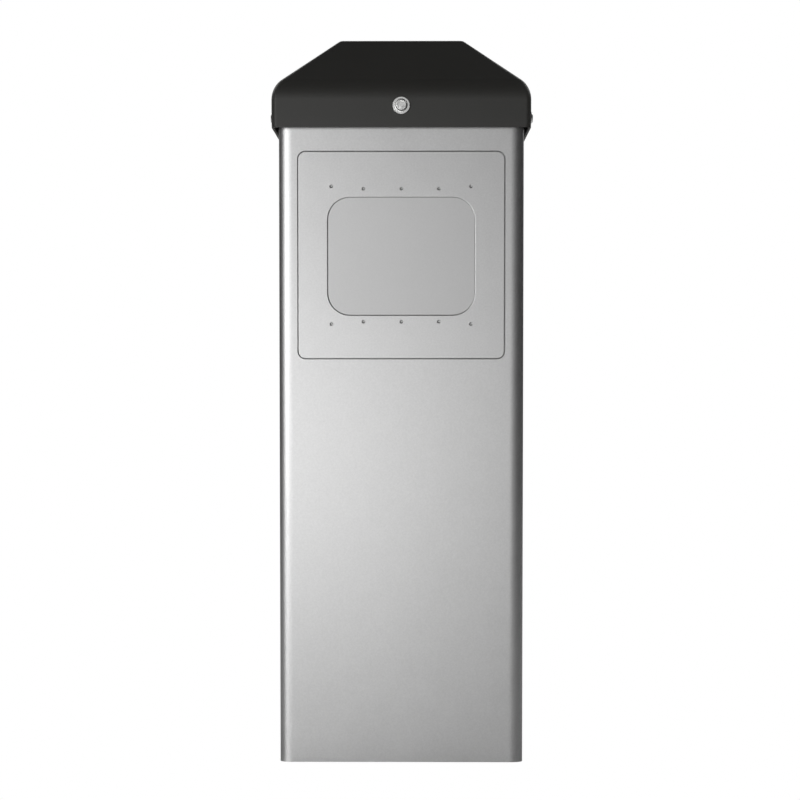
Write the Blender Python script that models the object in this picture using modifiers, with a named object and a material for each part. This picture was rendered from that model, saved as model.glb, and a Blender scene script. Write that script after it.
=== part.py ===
"""Parking barrier cabinet with its boom drive, modelled in metres with +Z up.

The cabinet front faces -Y. The origin is the middle of the base plate's underside.
"""
import math

import bmesh
import bpy
from mathutils import Matrix, Vector

GAP = 0.0003  # clearance kept between touching pieces

# Housing: a folded U of aluminium sheet, open at the back and the top.
BODY_W = 0.315
BODY_D = 0.204
BODY_TOP = 0.860
SHEET = 0.003
BODY_CORNER = 0.008
FLANGE_W = 0.020
HALF_W = BODY_W / 2
FRONT = -BODY_D / 2
BACK = BODY_D / 2
INNER_X = HALF_W - SHEET
INNER_FRONT = FRONT + SHEET
INNER_BACK = BACK - SHEET

# Square front plate with its sunk field, set in an opening of the housing.
PLATE_SIZE = 0.2655
PLATE_Z = 0.6565
PLATE_CORNER = 0.0095
PLATE_SINK = 0.0010
FIELD_W = 0.190
FIELD_H = 0.152
FIELD_Z = 0.6552
FIELD_CORNER = 0.029
FIELD_SINK = 0.0018
DIMPLE_R = 0.0016
DIMPLE_DEPTH = 0.001
DIMPLE_X = (0.0485, 0.0)
DIMPLE_EDGE_X = 0.090
DIMPLE_ROW = 0.0852
DIMPLE_EDGE_ROW = 0.0882

# Hood: vertical skirt, rounded shoulder, four equal slopes and a flat top.
HOOD_W = 0.3325
HOOD_D = 0.219
HOOD_WALL = 0.003
HOOD_LOW = 0.8190
HOOD_SKIRT_TOP = 0.8545
HOOD_CORNER = 0.007
SHOULDER_R = 0.037
HOOD_SLOPE = math.radians(40.5)
RIDGE_INSET = 0.0853
HOOD_FRONT = -HOOD_D / 2
HOOD_SCREW_Z = 0.8465
LUG_IN = 0.146
LUG_OUT = 0.1595
LUG_TOP = 0.874
WASHER_R = 0.011
WASHER_T = 0.002
SCREW_HEAD_R = 0.0085
SCREW_HEAD_H = 0.0066
SHANK_R = 0.004
NUT_SIZE = 0.014
NUT_T = 0.006
SLOT_HALF = 0.0045

# Base, rear closure and service door.
BASE_T = 0.008
ANCHOR_X = 0.130
ANCHOR_Y = 0.075
PANEL_T = 0.003
PANEL_Y = BACK + GAP
PANEL_LOW = 0.541
DOOR_LOW = 0.015
DOOR_HIGH = 0.535
DOOR_LEFT = -0.149
DOOR_RIGHT = 0.1465
SEAL_T = 0.002
DOOR_Y = BACK + SEAL_T + 2 * GAP
DOOR_T = 0.003
HINGE_X = 0.1535
HINGE_Y = 0.108
KNUCKLE_R = 0.0055
PIN_R = 0.003
LOCK_X = -0.122
LOCK_Z = 0.275
LOCK_R = 0.011

# Boom drive: the main shaft and the gearbox shaft are both parallel to Y.
SHAFT_Z = 0.656
SHAFT_R = 0.015
CRANK_Z = 0.396
ARM = 0.060
ARM_ANGLE = math.radians(45)
ARM_HALF = 0.011
LINK_PIN_R = 0.006
BORE_GAP = 0.0003
LINK_GAP = 0.0005
SHELF_Z = 0.300
FRAME_T = 0.006
FRAME_Y = -0.088
FRAME_TOP = 0.760
MOTOR_X = 0.055
MOTOR_Y = -0.034
MOTOR_R = 0.050
SPRING_Y = -0.026
SPRING_R = 0.0125
WIRE_R = 0.0022
SPRING_LOW = 0.4922
SPRING_HIGH = 0.6905
SPRING_TURNS = 14
BUFFER_R = 0.009
BUFFER_AT = 0.050

# Boom carrier outside the back of the cabinet.
CARRIER_LEFT = -0.130
CARRIER_RIGHT = 0.070
CARRIER_Y = 0.1193
CARRIER_DEPTH = 0.044
SLOT_H = 0.084
CARRIER_RAIL = 0.010
CARRIER_BACK = 0.004

# Controller in the lower left of the cabinet.
CASE_LOW = Vector((-0.148, -0.0985, 0.060))
CASE_HIGH = Vector((-0.018, -0.052, 0.280))
CASE_WALL = 0.003
BUTTON_X = -0.055
BUTTON_R = 0.006
BUTTON_TRAVEL = 0.003
KNOB_X = -0.108
KNOB_Z = 0.150
LID_HINGE_X = -0.0165


def clear_scene():
    for item in list(bpy.data.objects):
        bpy.data.objects.remove(item, do_unlink=True)


def make_collection(name):
    group = bpy.data.collections.new(name)
    bpy.context.scene.collection.children.link(group)
    return group


def make_finish(name, colour, roughness, metallic):
    finish = bpy.data.materials.new(name)
    finish.use_nodes = True
    shader = finish.node_tree.nodes["Principled BSDF"]
    shader.inputs["Base Color"].default_value = (*colour, 1.0)
    shader.inputs["Roughness"].default_value = roughness
    shader.inputs["Metallic"].default_value = metallic
    finish.diffuse_color = (*colour, 1.0)
    return finish


clear_scene()
PARTS = make_collection("parking_barrier")
CUTTERS = make_collection("cutters")

SATIN = make_finish("satin_aluminium", (0.55, 0.55, 0.55), 0.38, 1.0)
BLACK = make_finish("black_paint", (0.035, 0.035, 0.032), 0.55, 0.0)
FIELD = make_finish("matte_grey_field", (0.42, 0.42, 0.42), 0.75, 0.0)
STEEL = make_finish("bright_steel", (0.62, 0.62, 0.62), 0.28, 1.0)
ZINC = make_finish("zinc_plate", (0.50, 0.51, 0.52), 0.42, 1.0)
CAST = make_finish("cast_grey", (0.20, 0.21, 0.22), 0.60, 0.6)
RUBBER = make_finish("black_rubber", (0.02, 0.02, 0.02), 0.80, 0.0)
PLASTIC = make_finish("grey_plastic", (0.35, 0.36, 0.37), 0.50, 0.0)
BOARD = make_finish("green_board", (0.02, 0.16, 0.07), 0.45, 0.0)
RED = make_finish("red_plastic", (0.55, 0.02, 0.02), 0.40, 0.0)
GREEN = make_finish("green_plastic", (0.02, 0.35, 0.08), 0.40, 0.0)


def finish_mesh(solid, name):
    bmesh.ops.recalc_face_normals(solid, faces=solid.faces[:])
    mesh = bpy.data.meshes.new(name)
    solid.to_mesh(mesh)
    solid.free()
    mesh.shade_smooth()
    mesh.set_sharp_from_angle(angle=math.radians(35))
    return mesh


def block(low, high, radius=0.0, along="Y", steps=5):
    """A box between two corners, its edges along one axis rounded by radius."""
    low, high = Vector(low), Vector(high)
    solid = bmesh.new()
    bmesh.ops.create_cube(solid, size=1.0)
    bmesh.ops.scale(solid, vec=high - low, verts=solid.verts)
    bmesh.ops.translate(solid, vec=(low + high) / 2, verts=solid.verts)
    if radius:
        axis = "XYZ".index(along)
        edges = [e for e in solid.edges if abs((e.verts[0].co - e.verts[1].co)[axis]) > 1e-6]
        bmesh.ops.bevel(solid, geom=edges, offset=radius, segments=steps, profile=0.5,
                        affect="EDGES", clamp_overlap=True)
    return finish_mesh(solid, "block")


def rod(start, end, radius, sides=32, end_radius=None):
    """A cylinder, or a cone, from one point to another."""
    start, end = Vector(start), Vector(end)
    solid = bmesh.new()
    bmesh.ops.create_cone(solid, cap_ends=True, segments=sides, radius1=radius,
                          radius2=radius if end_radius is None else end_radius,
                          depth=(end - start).length)
    turn = Vector((0, 0, 1)).rotation_difference(end - start).to_matrix().to_4x4()
    bmesh.ops.transform(solid, matrix=Matrix.Translation((start + end) / 2) @ turn,
                        verts=solid.verts)
    return finish_mesh(solid, "rod")


def rod_y(x, z, radius, y0, y1, sides=32):
    return rod((x, y0, z), (x, y1, z), radius, sides)


def bar_y(start, end, half, y0, y1):
    """A flat bar between two (x, z) points, standing between y0 and y1."""
    start, end = Vector((start[0], 0, start[1])), Vector((end[0], 0, end[1]))
    along = end - start
    solid = bmesh.new()
    bmesh.ops.create_cube(solid, size=1.0)
    bmesh.ops.scale(solid, vec=(along.length, y1 - y0, 2 * half), verts=solid.verts)
    turn = Matrix.Rotation(-math.atan2(along.z, along.x), 4, "Y")
    middle = (start + end) / 2 + Vector((0, (y0 + y1) / 2, 0))
    bmesh.ops.transform(solid, matrix=Matrix.Translation(middle) @ turn, verts=solid.verts)
    return finish_mesh(solid, "bar")


def place(name, mesh, group):
    """Give a mesh an object whose origin is the middle of the mesh."""
    points = [v.co for v in mesh.vertices]
    low = Vector([min(p[i] for p in points) for i in range(3)])
    high = Vector([max(p[i] for p in points) for i in range(3)])
    middle = (low + high) / 2
    mesh.transform(Matrix.Translation(-middle))
    item = bpy.data.objects.new(name, mesh)
    item.location = middle
    group.objects.link(item)
    return item


def combine(item, shapes, operation):
    for shape in shapes:
        tool = place(item.name + "_" + operation.lower(), shape, CUTTERS)
        tool.hide_render = True
        tool.display_type = "WIRE"
        step = item.modifiers.new(operation.lower(), "BOOLEAN")
        step.operation = operation
        step.solver = "EXACT"
        step.object = tool


def piece(name, finish, shape, add=(), cut=(), edge=0.0):
    """One solid sub-part: a first shape, shapes joined to it and shapes cut out of it."""
    item = place(name, shape, PARTS)
    item.data.materials.append(finish)
    if edge:
        bevel = item.modifiers.new("edges", "BEVEL")
        bevel.width = edge
        bevel.segments = 2
        bevel.limit_method = "ANGLE"
        bevel.angle_limit = math.radians(50)
    combine(item, add, "UNION")
    combine(item, cut, "DIFFERENCE")
    return item


def pivot(name, point, *children):
    """An empty on a joint's axis, carrying the pieces that move on it."""
    axle = bpy.data.objects.new(name, None)
    axle.location = point
    axle.empty_display_size = 0.03
    PARTS.objects.link(axle)
    for child in children:
        child.parent = axle
        child.location = child.location - axle.location
    return axle


def rounded_ring(half_x, half_y, radius, z, steps=3):
    """The points of a rounded rectangle at height z, counter-clockwise from above."""
    points = []
    for corner in range(4):
        side_x = 1 if corner in (0, 3) else -1
        side_y = 1 if corner in (0, 1) else -1
        centre = Vector((side_x * (half_x - radius), side_y * (half_y - radius), z))
        for step in range(steps + 1):
            angle = math.pi / 2 * (corner + step / steps)
            points.append(centre + radius * Vector((math.cos(angle), math.sin(angle), 0)))
    return points


def arm_tip(centre_z, length, angle):
    return length * math.cos(angle), centre_z + length * math.sin(angle)


# Housing and base


def housing_outline():
    """The housing's outer plan line, from one rear flange round to the other."""
    corners = ((-HALF_W, BACK), (-HALF_W, FRONT), (HALF_W, FRONT), (HALF_W, BACK))
    start_angles = (90, 180, 270, 0)
    points = [(-HALF_W + FLANGE_W, BACK)]
    steps = 5
    for (x, y), start in zip(corners, start_angles):
        centre_x = x - math.copysign(BODY_CORNER, x)
        centre_y = y - math.copysign(BODY_CORNER, y)
        for step in range(steps + 1):
            angle = math.radians(start + 90 * step / steps)
            points.append((centre_x + BODY_CORNER * math.cos(angle),
                           centre_y + BODY_CORNER * math.sin(angle)))
    points.append((HALF_W - FLANGE_W, BACK))
    return points


def housing_mesh():
    sheet = bmesh.new()
    outline = housing_outline()
    lower = [sheet.verts.new((x, y, 0)) for x, y in outline]
    upper = [sheet.verts.new((x, y, BODY_TOP)) for x, y in outline]
    for i in range(len(outline) - 1):
        sheet.faces.new((lower[i], lower[i + 1], upper[i + 1], upper[i]))
    mesh = bpy.data.meshes.new("housing")
    sheet.to_mesh(mesh)
    sheet.free()
    mesh.shade_smooth()
    mesh.set_sharp_from_angle(angle=math.radians(35))
    return mesh


def screw_slots(direction, wall_from, wall_to):
    """An open-topped slot through one wall, for a hood screw that points along direction."""
    across = Vector((abs(direction.y), abs(direction.x), 0)) * SLOT_HALF
    start = direction * wall_from + Vector((0, 0, HOOD_SCREW_Z))
    end = direction * wall_to + Vector((0, 0, HOOD_SCREW_Z))
    top = end + across + Vector((0, 0, 0.03))
    low = Vector([min(a, b) for a, b in zip(start - across, top)])
    high = Vector([max(a, b) for a, b in zip(start - across, top)])
    return [rod(start, end, SLOT_HALF, 16), block(low, high)]


SIDES = {
    "front": (Vector((0, -1, 0)), -HOOD_FRONT, -FRONT),
    "rear": (Vector((0, 1, 0)), -HOOD_FRONT, PANEL_Y + PANEL_T),
    "left": (Vector((-1, 0, 0)), HOOD_W / 2, HALF_W),
    "right": (Vector((1, 0, 0)), HOOD_W / 2, HALF_W),
}

opening_half = PLATE_SIZE / 2
plate_opening = block((-opening_half, FRONT - 0.01, PLATE_Z - opening_half),
                      (opening_half, INNER_FRONT + 0.01, PLATE_Z + opening_half), PLATE_CORNER)
housing_cuts = [plate_opening]
for side in ("front", "left", "right"):
    outward, _, wall = SIDES[side]
    housing_cuts += screw_slots(outward, wall - 0.01, wall + 0.01)

housing = place("housing_shell", housing_mesh(), PARTS)
housing.data.materials.append(SATIN)
wall = housing.modifiers.new("wall", "SOLIDIFY")
wall.thickness = SHEET
wall.offset = -1
wall.use_even_offset = True
combine(housing, housing_cuts, "DIFFERENCE")

base_x = INNER_X - GAP
base_y = -INNER_FRONT - GAP
anchor_spots = [(sx * ANCHOR_X, sy * ANCHOR_Y) for sy in (-1, 1) for sx in (-1, 1)]
base_cuts = [rod((x, y, -0.01), (x, y, 0.02), 0.008, 16) for x, y in anchor_spots]
base_cuts.append(block((-0.100, 0.015, -0.01), (-0.030, 0.075, 0.02), 0.010, "Z"))
piece("base_plate", ZINC, block((-base_x, -base_y, 0), (base_x, base_y, BASE_T), 0.006, "Z"),
      cut=base_cuts)
for number, (x, y) in enumerate(anchor_spots, 1):
    washer = rod((x, y, BASE_T + GAP), (x, y, BASE_T + 0.003), 0.013, 24)
    nut = rod((x, y, BASE_T + 0.002), (x, y, BASE_T + 0.014), 0.0105, 6)
    stud = rod((x, y, 0.001), (x, y, BASE_T + 0.024), 0.006, 16)
    piece("anchor_bolt_%d" % number, ZINC, washer, add=(nut, stud))

# Front plate

plate_half = PLATE_SIZE / 2 - GAP
plate_face = FRONT + PLATE_SINK
dimples = []
for row, edge_row in ((DIMPLE_ROW, DIMPLE_EDGE_ROW), (-DIMPLE_ROW, -DIMPLE_EDGE_ROW)):
    spots = [(x * sign, row) for x in DIMPLE_X for sign in (-1, 1) if x or sign > 0]
    spots += [(DIMPLE_EDGE_X * sign, edge_row) for sign in (-1, 1)]
    for x, dz in spots:
        dimples.append(rod_y(x, PLATE_Z + dz, DIMPLE_R, FRONT - 0.001,
                             plate_face + DIMPLE_DEPTH, 12))
field_hole = block((-FIELD_W / 2, FRONT - 0.01, FIELD_Z - FIELD_H / 2),
                   (FIELD_W / 2, INNER_FRONT + 0.01, FIELD_Z + FIELD_H / 2), FIELD_CORNER)
piece("front_cover_plate", SATIN,
      block((-plate_half, plate_face, PLATE_Z - plate_half),
            (plate_half, INNER_FRONT, PLATE_Z + plate_half), PLATE_CORNER),
      cut=[field_hole] + dimples)

field_x = FIELD_W / 2 - GAP
field_z = FIELD_H / 2 - GAP
flange_y = INNER_FRONT + GAP
piece("inlay_panel", FIELD,
      block((-field_x, FRONT + FIELD_SINK, FIELD_Z - field_z),
            (field_x, flange_y + 0.0008, FIELD_Z + field_z), FIELD_CORNER - GAP),
      add=[block((-0.102, flange_y, FIELD_Z - 0.083), (0.102, flange_y + 0.0015, FIELD_Z + 0.083))])
piece("plate_frame", ZINC,
      block((-0.146, flange_y, PLATE_Z - 0.146), (0.146, flange_y + 0.002, PLATE_Z + 0.146),
            0.010),
      cut=[block((-0.120, -0.2, PLATE_Z - 0.120), (0.120, 0.0, PLATE_Z + 0.120), 0.010)])

# Hood and its four screws


def hood_profile():
    """(inset, height) pairs up the hood: skirt, round shoulder and slope."""
    turn = math.pi / 2 - HOOD_SLOPE
    steps = 6
    points = [(0.0, HOOD_LOW)]
    for step in range(steps + 1):
        angle = turn * step / steps
        points.append((SHOULDER_R * (1 - math.cos(angle)),
                       HOOD_SKIRT_TOP + SHOULDER_R * math.sin(angle)))
    inset, height = points[-1]
    points.append((RIDGE_INSET, height + (RIDGE_INSET - inset) * math.tan(HOOD_SLOPE)))
    return points


def hood_mesh():
    sheet = bmesh.new()
    rings = []
    for inset, height in hood_profile():
        radius = HOOD_CORNER * (1 - 0.6 * inset / RIDGE_INSET)
        ring = rounded_ring(HOOD_W / 2 - inset, HOOD_D / 2 - inset, radius, height)
        rings.append([sheet.verts.new(point) for point in ring])
    count = len(rings[0])
    for lower, upper in zip(rings, rings[1:]):
        for i in range(count):
            j = (i + 1) % count
            sheet.faces.new((lower[i], lower[j], upper[j], upper[i]))
    sheet.faces.new(rings[-1])
    mesh = bpy.data.meshes.new("hood")
    sheet.to_mesh(mesh)
    sheet.free()
    mesh.shade_smooth()
    mesh.set_sharp_from_angle(angle=math.radians(35))
    return mesh


hood = place("hood", hood_mesh(), PARTS)
hood.data.materials.append(BLACK)
wall = hood.modifiers.new("wall", "SOLIDIFY")
wall.thickness = HOOD_WALL
wall.offset = -1
wall.use_even_offset = True
rests = [block((min(s * LUG_IN, s * LUG_OUT), min(t * 0.040, t * 0.070), BODY_TOP + GAP),
               (max(s * LUG_IN, s * LUG_OUT), max(t * 0.040, t * 0.070), LUG_TOP))
         for s in (-1, 1) for t in (-1, 1)]
combine(hood, rests, "UNION")
hood_screws = []
for side, (outward, face, wall_face) in SIDES.items():
    lift = Vector((0, 0, HOOD_SCREW_Z))
    hole = rod(outward * (face - 0.01) + lift, outward * (face + 0.01) + lift, SLOT_HALF, 16)
    combine(hood, [hole], "DIFFERENCE")
    base = face + GAP
    nut_face = wall_face - SHEET - GAP
    washer = rod(outward * base + lift, outward * (base + WASHER_T) + lift, WASHER_R, 32)
    head = rod(outward * (base + 0.001) + lift,
               outward * (base + WASHER_T + SCREW_HEAD_H) + lift, SCREW_HEAD_R, 32,
               SCREW_HEAD_R * 0.75)
    shank = rod(outward * (nut_face - NUT_T - 0.002) + lift, outward * (base + 0.001) + lift,
                SHANK_R, 16)
    across = Vector((abs(outward.y), abs(outward.x), 0)) * NUT_SIZE / 2
    up = Vector((0, 0, NUT_SIZE / 2))
    a = outward * nut_face + lift - across - up
    b = outward * (nut_face - NUT_T) + lift + across + up
    low = Vector([min(p, q) for p, q in zip(a, b)])
    high = Vector([max(p, q) for p, q in zip(a, b)])
    socket = rod(outward * (base + 0.004) + lift, outward * (base + 0.012) + lift, 0.0046, 6)
    hood_screws.append(piece("hood_screw_" + side, STEEL, washer,
                             add=(head, shank, block(low, high)), cut=(socket,)))
pivot("hood_lift_axis", (0, 0, HOOD_LOW), hood, *hood_screws)

# Rear panel, cross bars and service door

outward, _, wall_face = SIDES["rear"]
piece("rear_panel", SATIN,
      block((-0.150, PANEL_Y, PANEL_LOW), (0.150, PANEL_Y + PANEL_T, BODY_TOP)),
      cut=[rod_y(0, SHAFT_Z, 0.024, 0.08, 0.13)]
      + screw_slots(outward, wall_face - 0.01, wall_face + 0.01))
piece("mid_crossbar", ZINC, block((-0.150, 0.092, 0.525), (0.150, INNER_BACK - GAP, 0.556)))
piece("door_sill", ZINC, block((-0.136, 0.092, BASE_T + GAP), (0.136, INNER_BACK - GAP, 0.028)))

seal_low = Vector((-0.1485, BACK + GAP, 0.0155))
seal_high = Vector((0.146, BACK + GAP + SEAL_T - GAP, 0.5345))
lip = Vector((0.012, -0.01, 0.012))
piece("door_seal", RUBBER, block(seal_low, seal_high, 0.006),
      cut=[block(seal_low + lip, seal_high - lip, 0.004)])

knuckle_low = (0.100, 0.430)
door_add = []
door_cut = [rod_y(LOCK_X, LOCK_Z, LOCK_R + BORE_GAP, 0.09, 0.12, 24)]
for z in knuckle_low:
    door_add.append(rod((HINGE_X, HINGE_Y, z), (HINGE_X, HINGE_Y, z + 0.022), KNUCKLE_R, 24))
    door_add.append(block((0.140, DOOR_Y, z), (HINGE_X, DOOR_Y + DOOR_T, z + 0.022)))
    door_cut.append(rod((HINGE_X, HINGE_Y, z - 0.01), (HINGE_X, HINGE_Y, z + 0.03),
                        PIN_R + BORE_GAP, 16))
door = piece("service_door", SATIN,
             block((DOOR_LEFT, DOOR_Y, DOOR_LOW), (DOOR_RIGHT, DOOR_Y + DOOR_T, DOOR_HIGH), 0.004),
             add=door_add, cut=door_cut)
pivot("door_hinge_axis", (HINGE_X, HINGE_Y, 0.275), door)
for name, z in zip(("hinge_lower", "hinge_upper"), knuckle_low):
    barrel = rod((HINGE_X, HINGE_Y, z - 0.018), (HINGE_X, HINGE_Y, z - GAP), KNUCKLE_R, 24)
    foot = block((0.1505, BACK + GAP, z - 0.018), (0.157, 0.106, z - GAP))
    pin = rod((HINGE_X, HINGE_Y, z - 0.005), (HINGE_X, HINGE_Y, z + 0.024), PIN_R, 16)
    piece(name, STEEL, barrel, add=(foot, pin))

lock_head = rod_y(LOCK_X, LOCK_Z, 0.014, DOOR_Y + DOOR_T + GAP, DOOR_Y + 0.0065, 32)
lock_body = rod_y(LOCK_X, LOCK_Z, LOCK_R, 0.0945, DOOR_Y + DOOR_T + 0.002, 24)
cam = block((LOCK_X - 0.007, 0.0945, LOCK_Z - 0.008), (LOCK_X + 0.007, 0.098, LOCK_Z + 0.025))
key_hole = rod_y(LOCK_X, LOCK_Z, 0.005, DOOR_Y + 0.003, 0.13, 3)
door_lock = piece("door_lock", STEEL, lock_head, add=(lock_body, cam), cut=(key_hole,))
pivot("door_lock_axis", (LOCK_X, DOOR_Y, LOCK_Z), door_lock)

# Drive frame, gearbox and motor

shelf_y = 0.060
piece("drive_frame", ZINC,
      block((-0.120, FRAME_Y, SHELF_Z), (0.120, FRAME_Y + FRAME_T, FRAME_TOP), 0.012),
      add=[block((-0.154, FRAME_Y, SHELF_Z), (0.154, shelf_y, SHELF_Z + FRAME_T))]
      + [block((min(s * 0.114, s * 0.120), FRAME_Y + 0.003, SHELF_Z + 0.003),
               (max(s * 0.114, s * 0.120), -0.045, SHELF_Z + 0.085)) for s in (-1, 1)],
      cut=[rod_y(0, SHAFT_Z, 0.018, -0.1, -0.07),
           rod((MOTOR_X, MOTOR_Y, 0.29), (MOTOR_X, MOTOR_Y, 0.32), 0.026)])
piece("rear_bearing_plate", ZINC,
      block((-0.154, 0.080, 0.575), (0.154, 0.086, 0.745)),
      add=[block((min(s * 0.149, s * 0.154), 0.055, 0.600),
                 (max(s * 0.149, s * 0.154), 0.083, 0.720)) for s in (-1, 1)],
      cut=[rod_y(0, SHAFT_Z, 0.018, 0.07, 0.1)])

for name, y0, y1 in (("bearing_front", FRAME_Y + FRAME_T + GAP, -0.0697),
                     ("bearing_rear", 0.0677, 0.080 - GAP)):
    piece(name, CAST, rod_y(0, SHAFT_Z, 0.036, y0, y1, 40),
          cut=[rod_y(0, SHAFT_Z, SHAFT_R + BORE_GAP, y0 - 0.01, y1 + 0.01)])

gear_low = SHELF_Z + FRAME_T + GAP
piece("gearbox_housing", CAST,
      block((-0.060, -0.070, gear_low), (0.085, 0.002, 0.460), 0.014), edge=0.003,
      cut=[rod_y(0, CRANK_Z, 0.0125, -0.03, 0.01)])
piece("gearbox_cover", CAST,
      block((-0.056, 0.002 + GAP, gear_low + 0.004), (0.081, 0.008, 0.456), 0.012),
      cut=[rod_y(0, CRANK_Z, 0.0125, -0.01, 0.02)])
piece("motor_housing", CAST,
      rod((MOTOR_X, MOTOR_Y, 0.160), (MOTOR_X, MOTOR_Y, 0.292), MOTOR_R, 48),
      add=[rod((MOTOR_X, MOTOR_Y, 0.288), (MOTOR_X, MOTOR_Y, SHELF_Z - GAP), 0.045, 48),
           rod((MOTOR_X, MOTOR_Y, 0.290), (MOTOR_X, MOTOR_Y, 0.3058), 0.025)])
piece("motor_end_cap", PLASTIC,
      rod((MOTOR_X, MOTOR_Y, 0.160 - GAP), (MOTOR_X, MOTOR_Y, 0.138), 0.049, 48, 0.040))

release_x = 0.085 + GAP
release = piece("release_lever", RED,
                rod((release_x, MOTOR_Y, 0.400), (release_x + 0.010, MOTOR_Y, 0.400), 0.012),
                add=[block((0.090, MOTOR_Y - 0.006, 0.400), (0.0945, MOTOR_Y + 0.006, 0.458)),
                     rod((0.090, MOTOR_Y, 0.458), (0.124, MOTOR_Y, 0.458), 0.0075, 24)])
pivot("release_axis", (release_x, MOTOR_Y, 0.400), release)

# Shaft, levers, crank and rod

main_shaft = piece("main_shaft", STEEL, rod_y(0, SHAFT_Z, SHAFT_R, -0.086, 0.1185))
cam_disc = piece("cam_disc", PLASTIC, rod_y(0, SHAFT_Z, 0.027, -0.067, -0.062, 40),
                 cut=[rod_y(0, SHAFT_Z, SHAFT_R + BORE_GAP, -0.08, -0.05),
                      block((-0.030, -0.08, SHAFT_Z + 0.006), (-0.0235, -0.05, SHAFT_Z + 0.013))])


def swing_arm(name, finish, centre_z, hub_r, y0, y1, pin_r, pin_end, bore):
    """A hub with one arm at the rest angle and a pin at its tip."""
    x, z = arm_tip(centre_z, ARM, ARM_ANGLE)
    shapes = [bar_y((0, centre_z), (x, z), ARM_HALF, y0 + 0.001, y1 - 0.001),
              rod_y(x, z, 0.013, y0, y1, 24),
              rod_y(x, z, pin_r, (y0 + y1) / 2, pin_end, 20)]
    cuts = [rod_y(0, centre_z, bore, y0 - 0.02, y1 + 0.02)] if bore else []
    return piece(name, finish, rod_y(0, centre_z, hub_r, y0, y1), add=shapes, cut=cuts)


spring_lever = swing_arm("spring_lever", CAST, SHAFT_Z, 0.026, -0.056, -0.044, 0.005, -0.010,
                         SHAFT_R + BORE_GAP)
drive_lever = swing_arm("drive_lever", CAST, SHAFT_Z, 0.026, 0.012, 0.024, LINK_PIN_R, 0.042,
                        SHAFT_R + BORE_GAP)
crank = swing_arm("crank", STEEL, CRANK_Z, 0.020, 0.012, 0.024, LINK_PIN_R, 0.042, 0)
combine(crank, [rod_y(0, CRANK_Z, 0.012, -0.028, 0.018)], "UNION")

low_x, low_z = arm_tip(CRANK_Z, ARM, ARM_ANGLE)
high_x, high_z = arm_tip(SHAFT_Z, ARM, ARM_ANGLE)
rod_cuts = [rod_y(x, z, LINK_PIN_R + LINK_GAP, 0.0, 0.06, 24)
            for x, z in ((low_x, low_z), (high_x, high_z))]
drive_rod = piece("drive_rod", STEEL,
                  bar_y((low_x, low_z), (high_x, high_z), 0.008, 0.0275, 0.0365),
                  add=[rod_y(low_x, low_z, 0.014, 0.0265, 0.0375, 28),
                       rod_y(high_x, high_z, 0.014, 0.0265, 0.0375, 28)], cut=rod_cuts)
pivot("crank_axis", (0, 0.018, CRANK_Z), crank)
pivot("rod_axis", (low_x, 0.032, low_z), drive_rod)

for name, sign in (("stop_buffer_closed", 1), ("stop_buffer_open", -1)):
    offset = math.asin((ARM_HALF + BUFFER_R + 0.0005) / BUFFER_AT)
    x, z = arm_tip(SHAFT_Z, BUFFER_AT, sign * (ARM_ANGLE + offset))
    piece(name, RUBBER, rod_y(x, z, BUFFER_R, FRAME_Y + FRAME_T + GAP, -0.044, 24))

for name, dz in (("limit_switch_closed", 0.005), ("limit_switch_open", -0.027)):
    low = SHAFT_Z + dz
    finger = low + 0.003 if dz > 0 else low + 0.016
    piece(name, PLASTIC, block((-0.062, FRAME_Y + FRAME_T + GAP, low), (-0.038, -0.060, low + 0.022)),
          add=[block((-0.040, -0.067, finger), (-0.0265, -0.062, finger + 0.003))])

# Balance spring and its anchor


def spring_curve():
    """A tension coil wound round a vertical line under the spring lever's pin."""
    curve = bpy.data.curves.new("balance_spring", "CURVE")
    curve.dimensions = "3D"
    curve.bevel_depth = WIRE_R
    curve.bevel_resolution = 2
    curve.use_fill_caps = True
    curve.render_resolution_u = 0
    per_turn = 10
    count = SPRING_TURNS * per_turn + 1
    length = SPRING_HIGH - SPRING_LOW
    line = curve.splines.new("POLY")
    line.points.add(count - 1)
    for i, point in enumerate(line.points):
        angle = 2 * math.pi * i / per_turn
        point.co = (SPRING_R * math.cos(angle), SPRING_R * math.sin(angle),
                    length * (i / (count - 1) - 0.5), 1)
    return curve


spring = bpy.data.objects.new("balance_spring", spring_curve())
spring.location = (high_x, SPRING_Y, (SPRING_LOW + SPRING_HIGH) / 2)
spring.data.materials.append(STEEL)
PARTS.objects.link(spring)
anchor_y = FRAME_Y + FRAME_T + GAP
piece("spring_anchor", ZINC,
      block((high_x - 0.013, anchor_y, 0.466), (high_x + 0.013, -0.010, 0.474)),
      add=[rod((high_x, SPRING_Y, 0.470), (high_x, SPRING_Y, 0.4895), 0.005, 20),
           rod((high_x, SPRING_Y, 0.461), (high_x, SPRING_Y, 0.468), 0.009, 6)])

# Shaft seal, boom flange and boom carrier

piece("shaft_seal", RUBBER, rod_y(0, SHAFT_Z, 0.0236, 0.098, 0.1075, 40),
      cut=[rod_y(0, SHAFT_Z, SHAFT_R + 0.0004, 0.08, 0.12)])
boom_flange = piece("boom_flange", STEEL, rod_y(0, SHAFT_Z, 0.058, 0.109, 0.119, 48),
                    cut=[rod_y(0, SHAFT_Z, SHAFT_R + BORE_GAP, 0.1, 0.13)])
half_slot = SLOT_H / 2
carrier_half = half_slot + CARRIER_RAIL
carrier_end = CARRIER_Y + CARRIER_DEPTH
bolt_spots = [(x, SHAFT_Z + s * (half_slot + CARRIER_RAIL / 2)) for x in (-0.110, 0.050)
              for s in (-1, 1)]
slot = block((CARRIER_LEFT - 0.02, CARRIER_Y + CARRIER_BACK, SHAFT_Z - half_slot),
             (CARRIER_RIGHT + 0.02, carrier_end + 0.02, SHAFT_Z + half_slot))
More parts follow.
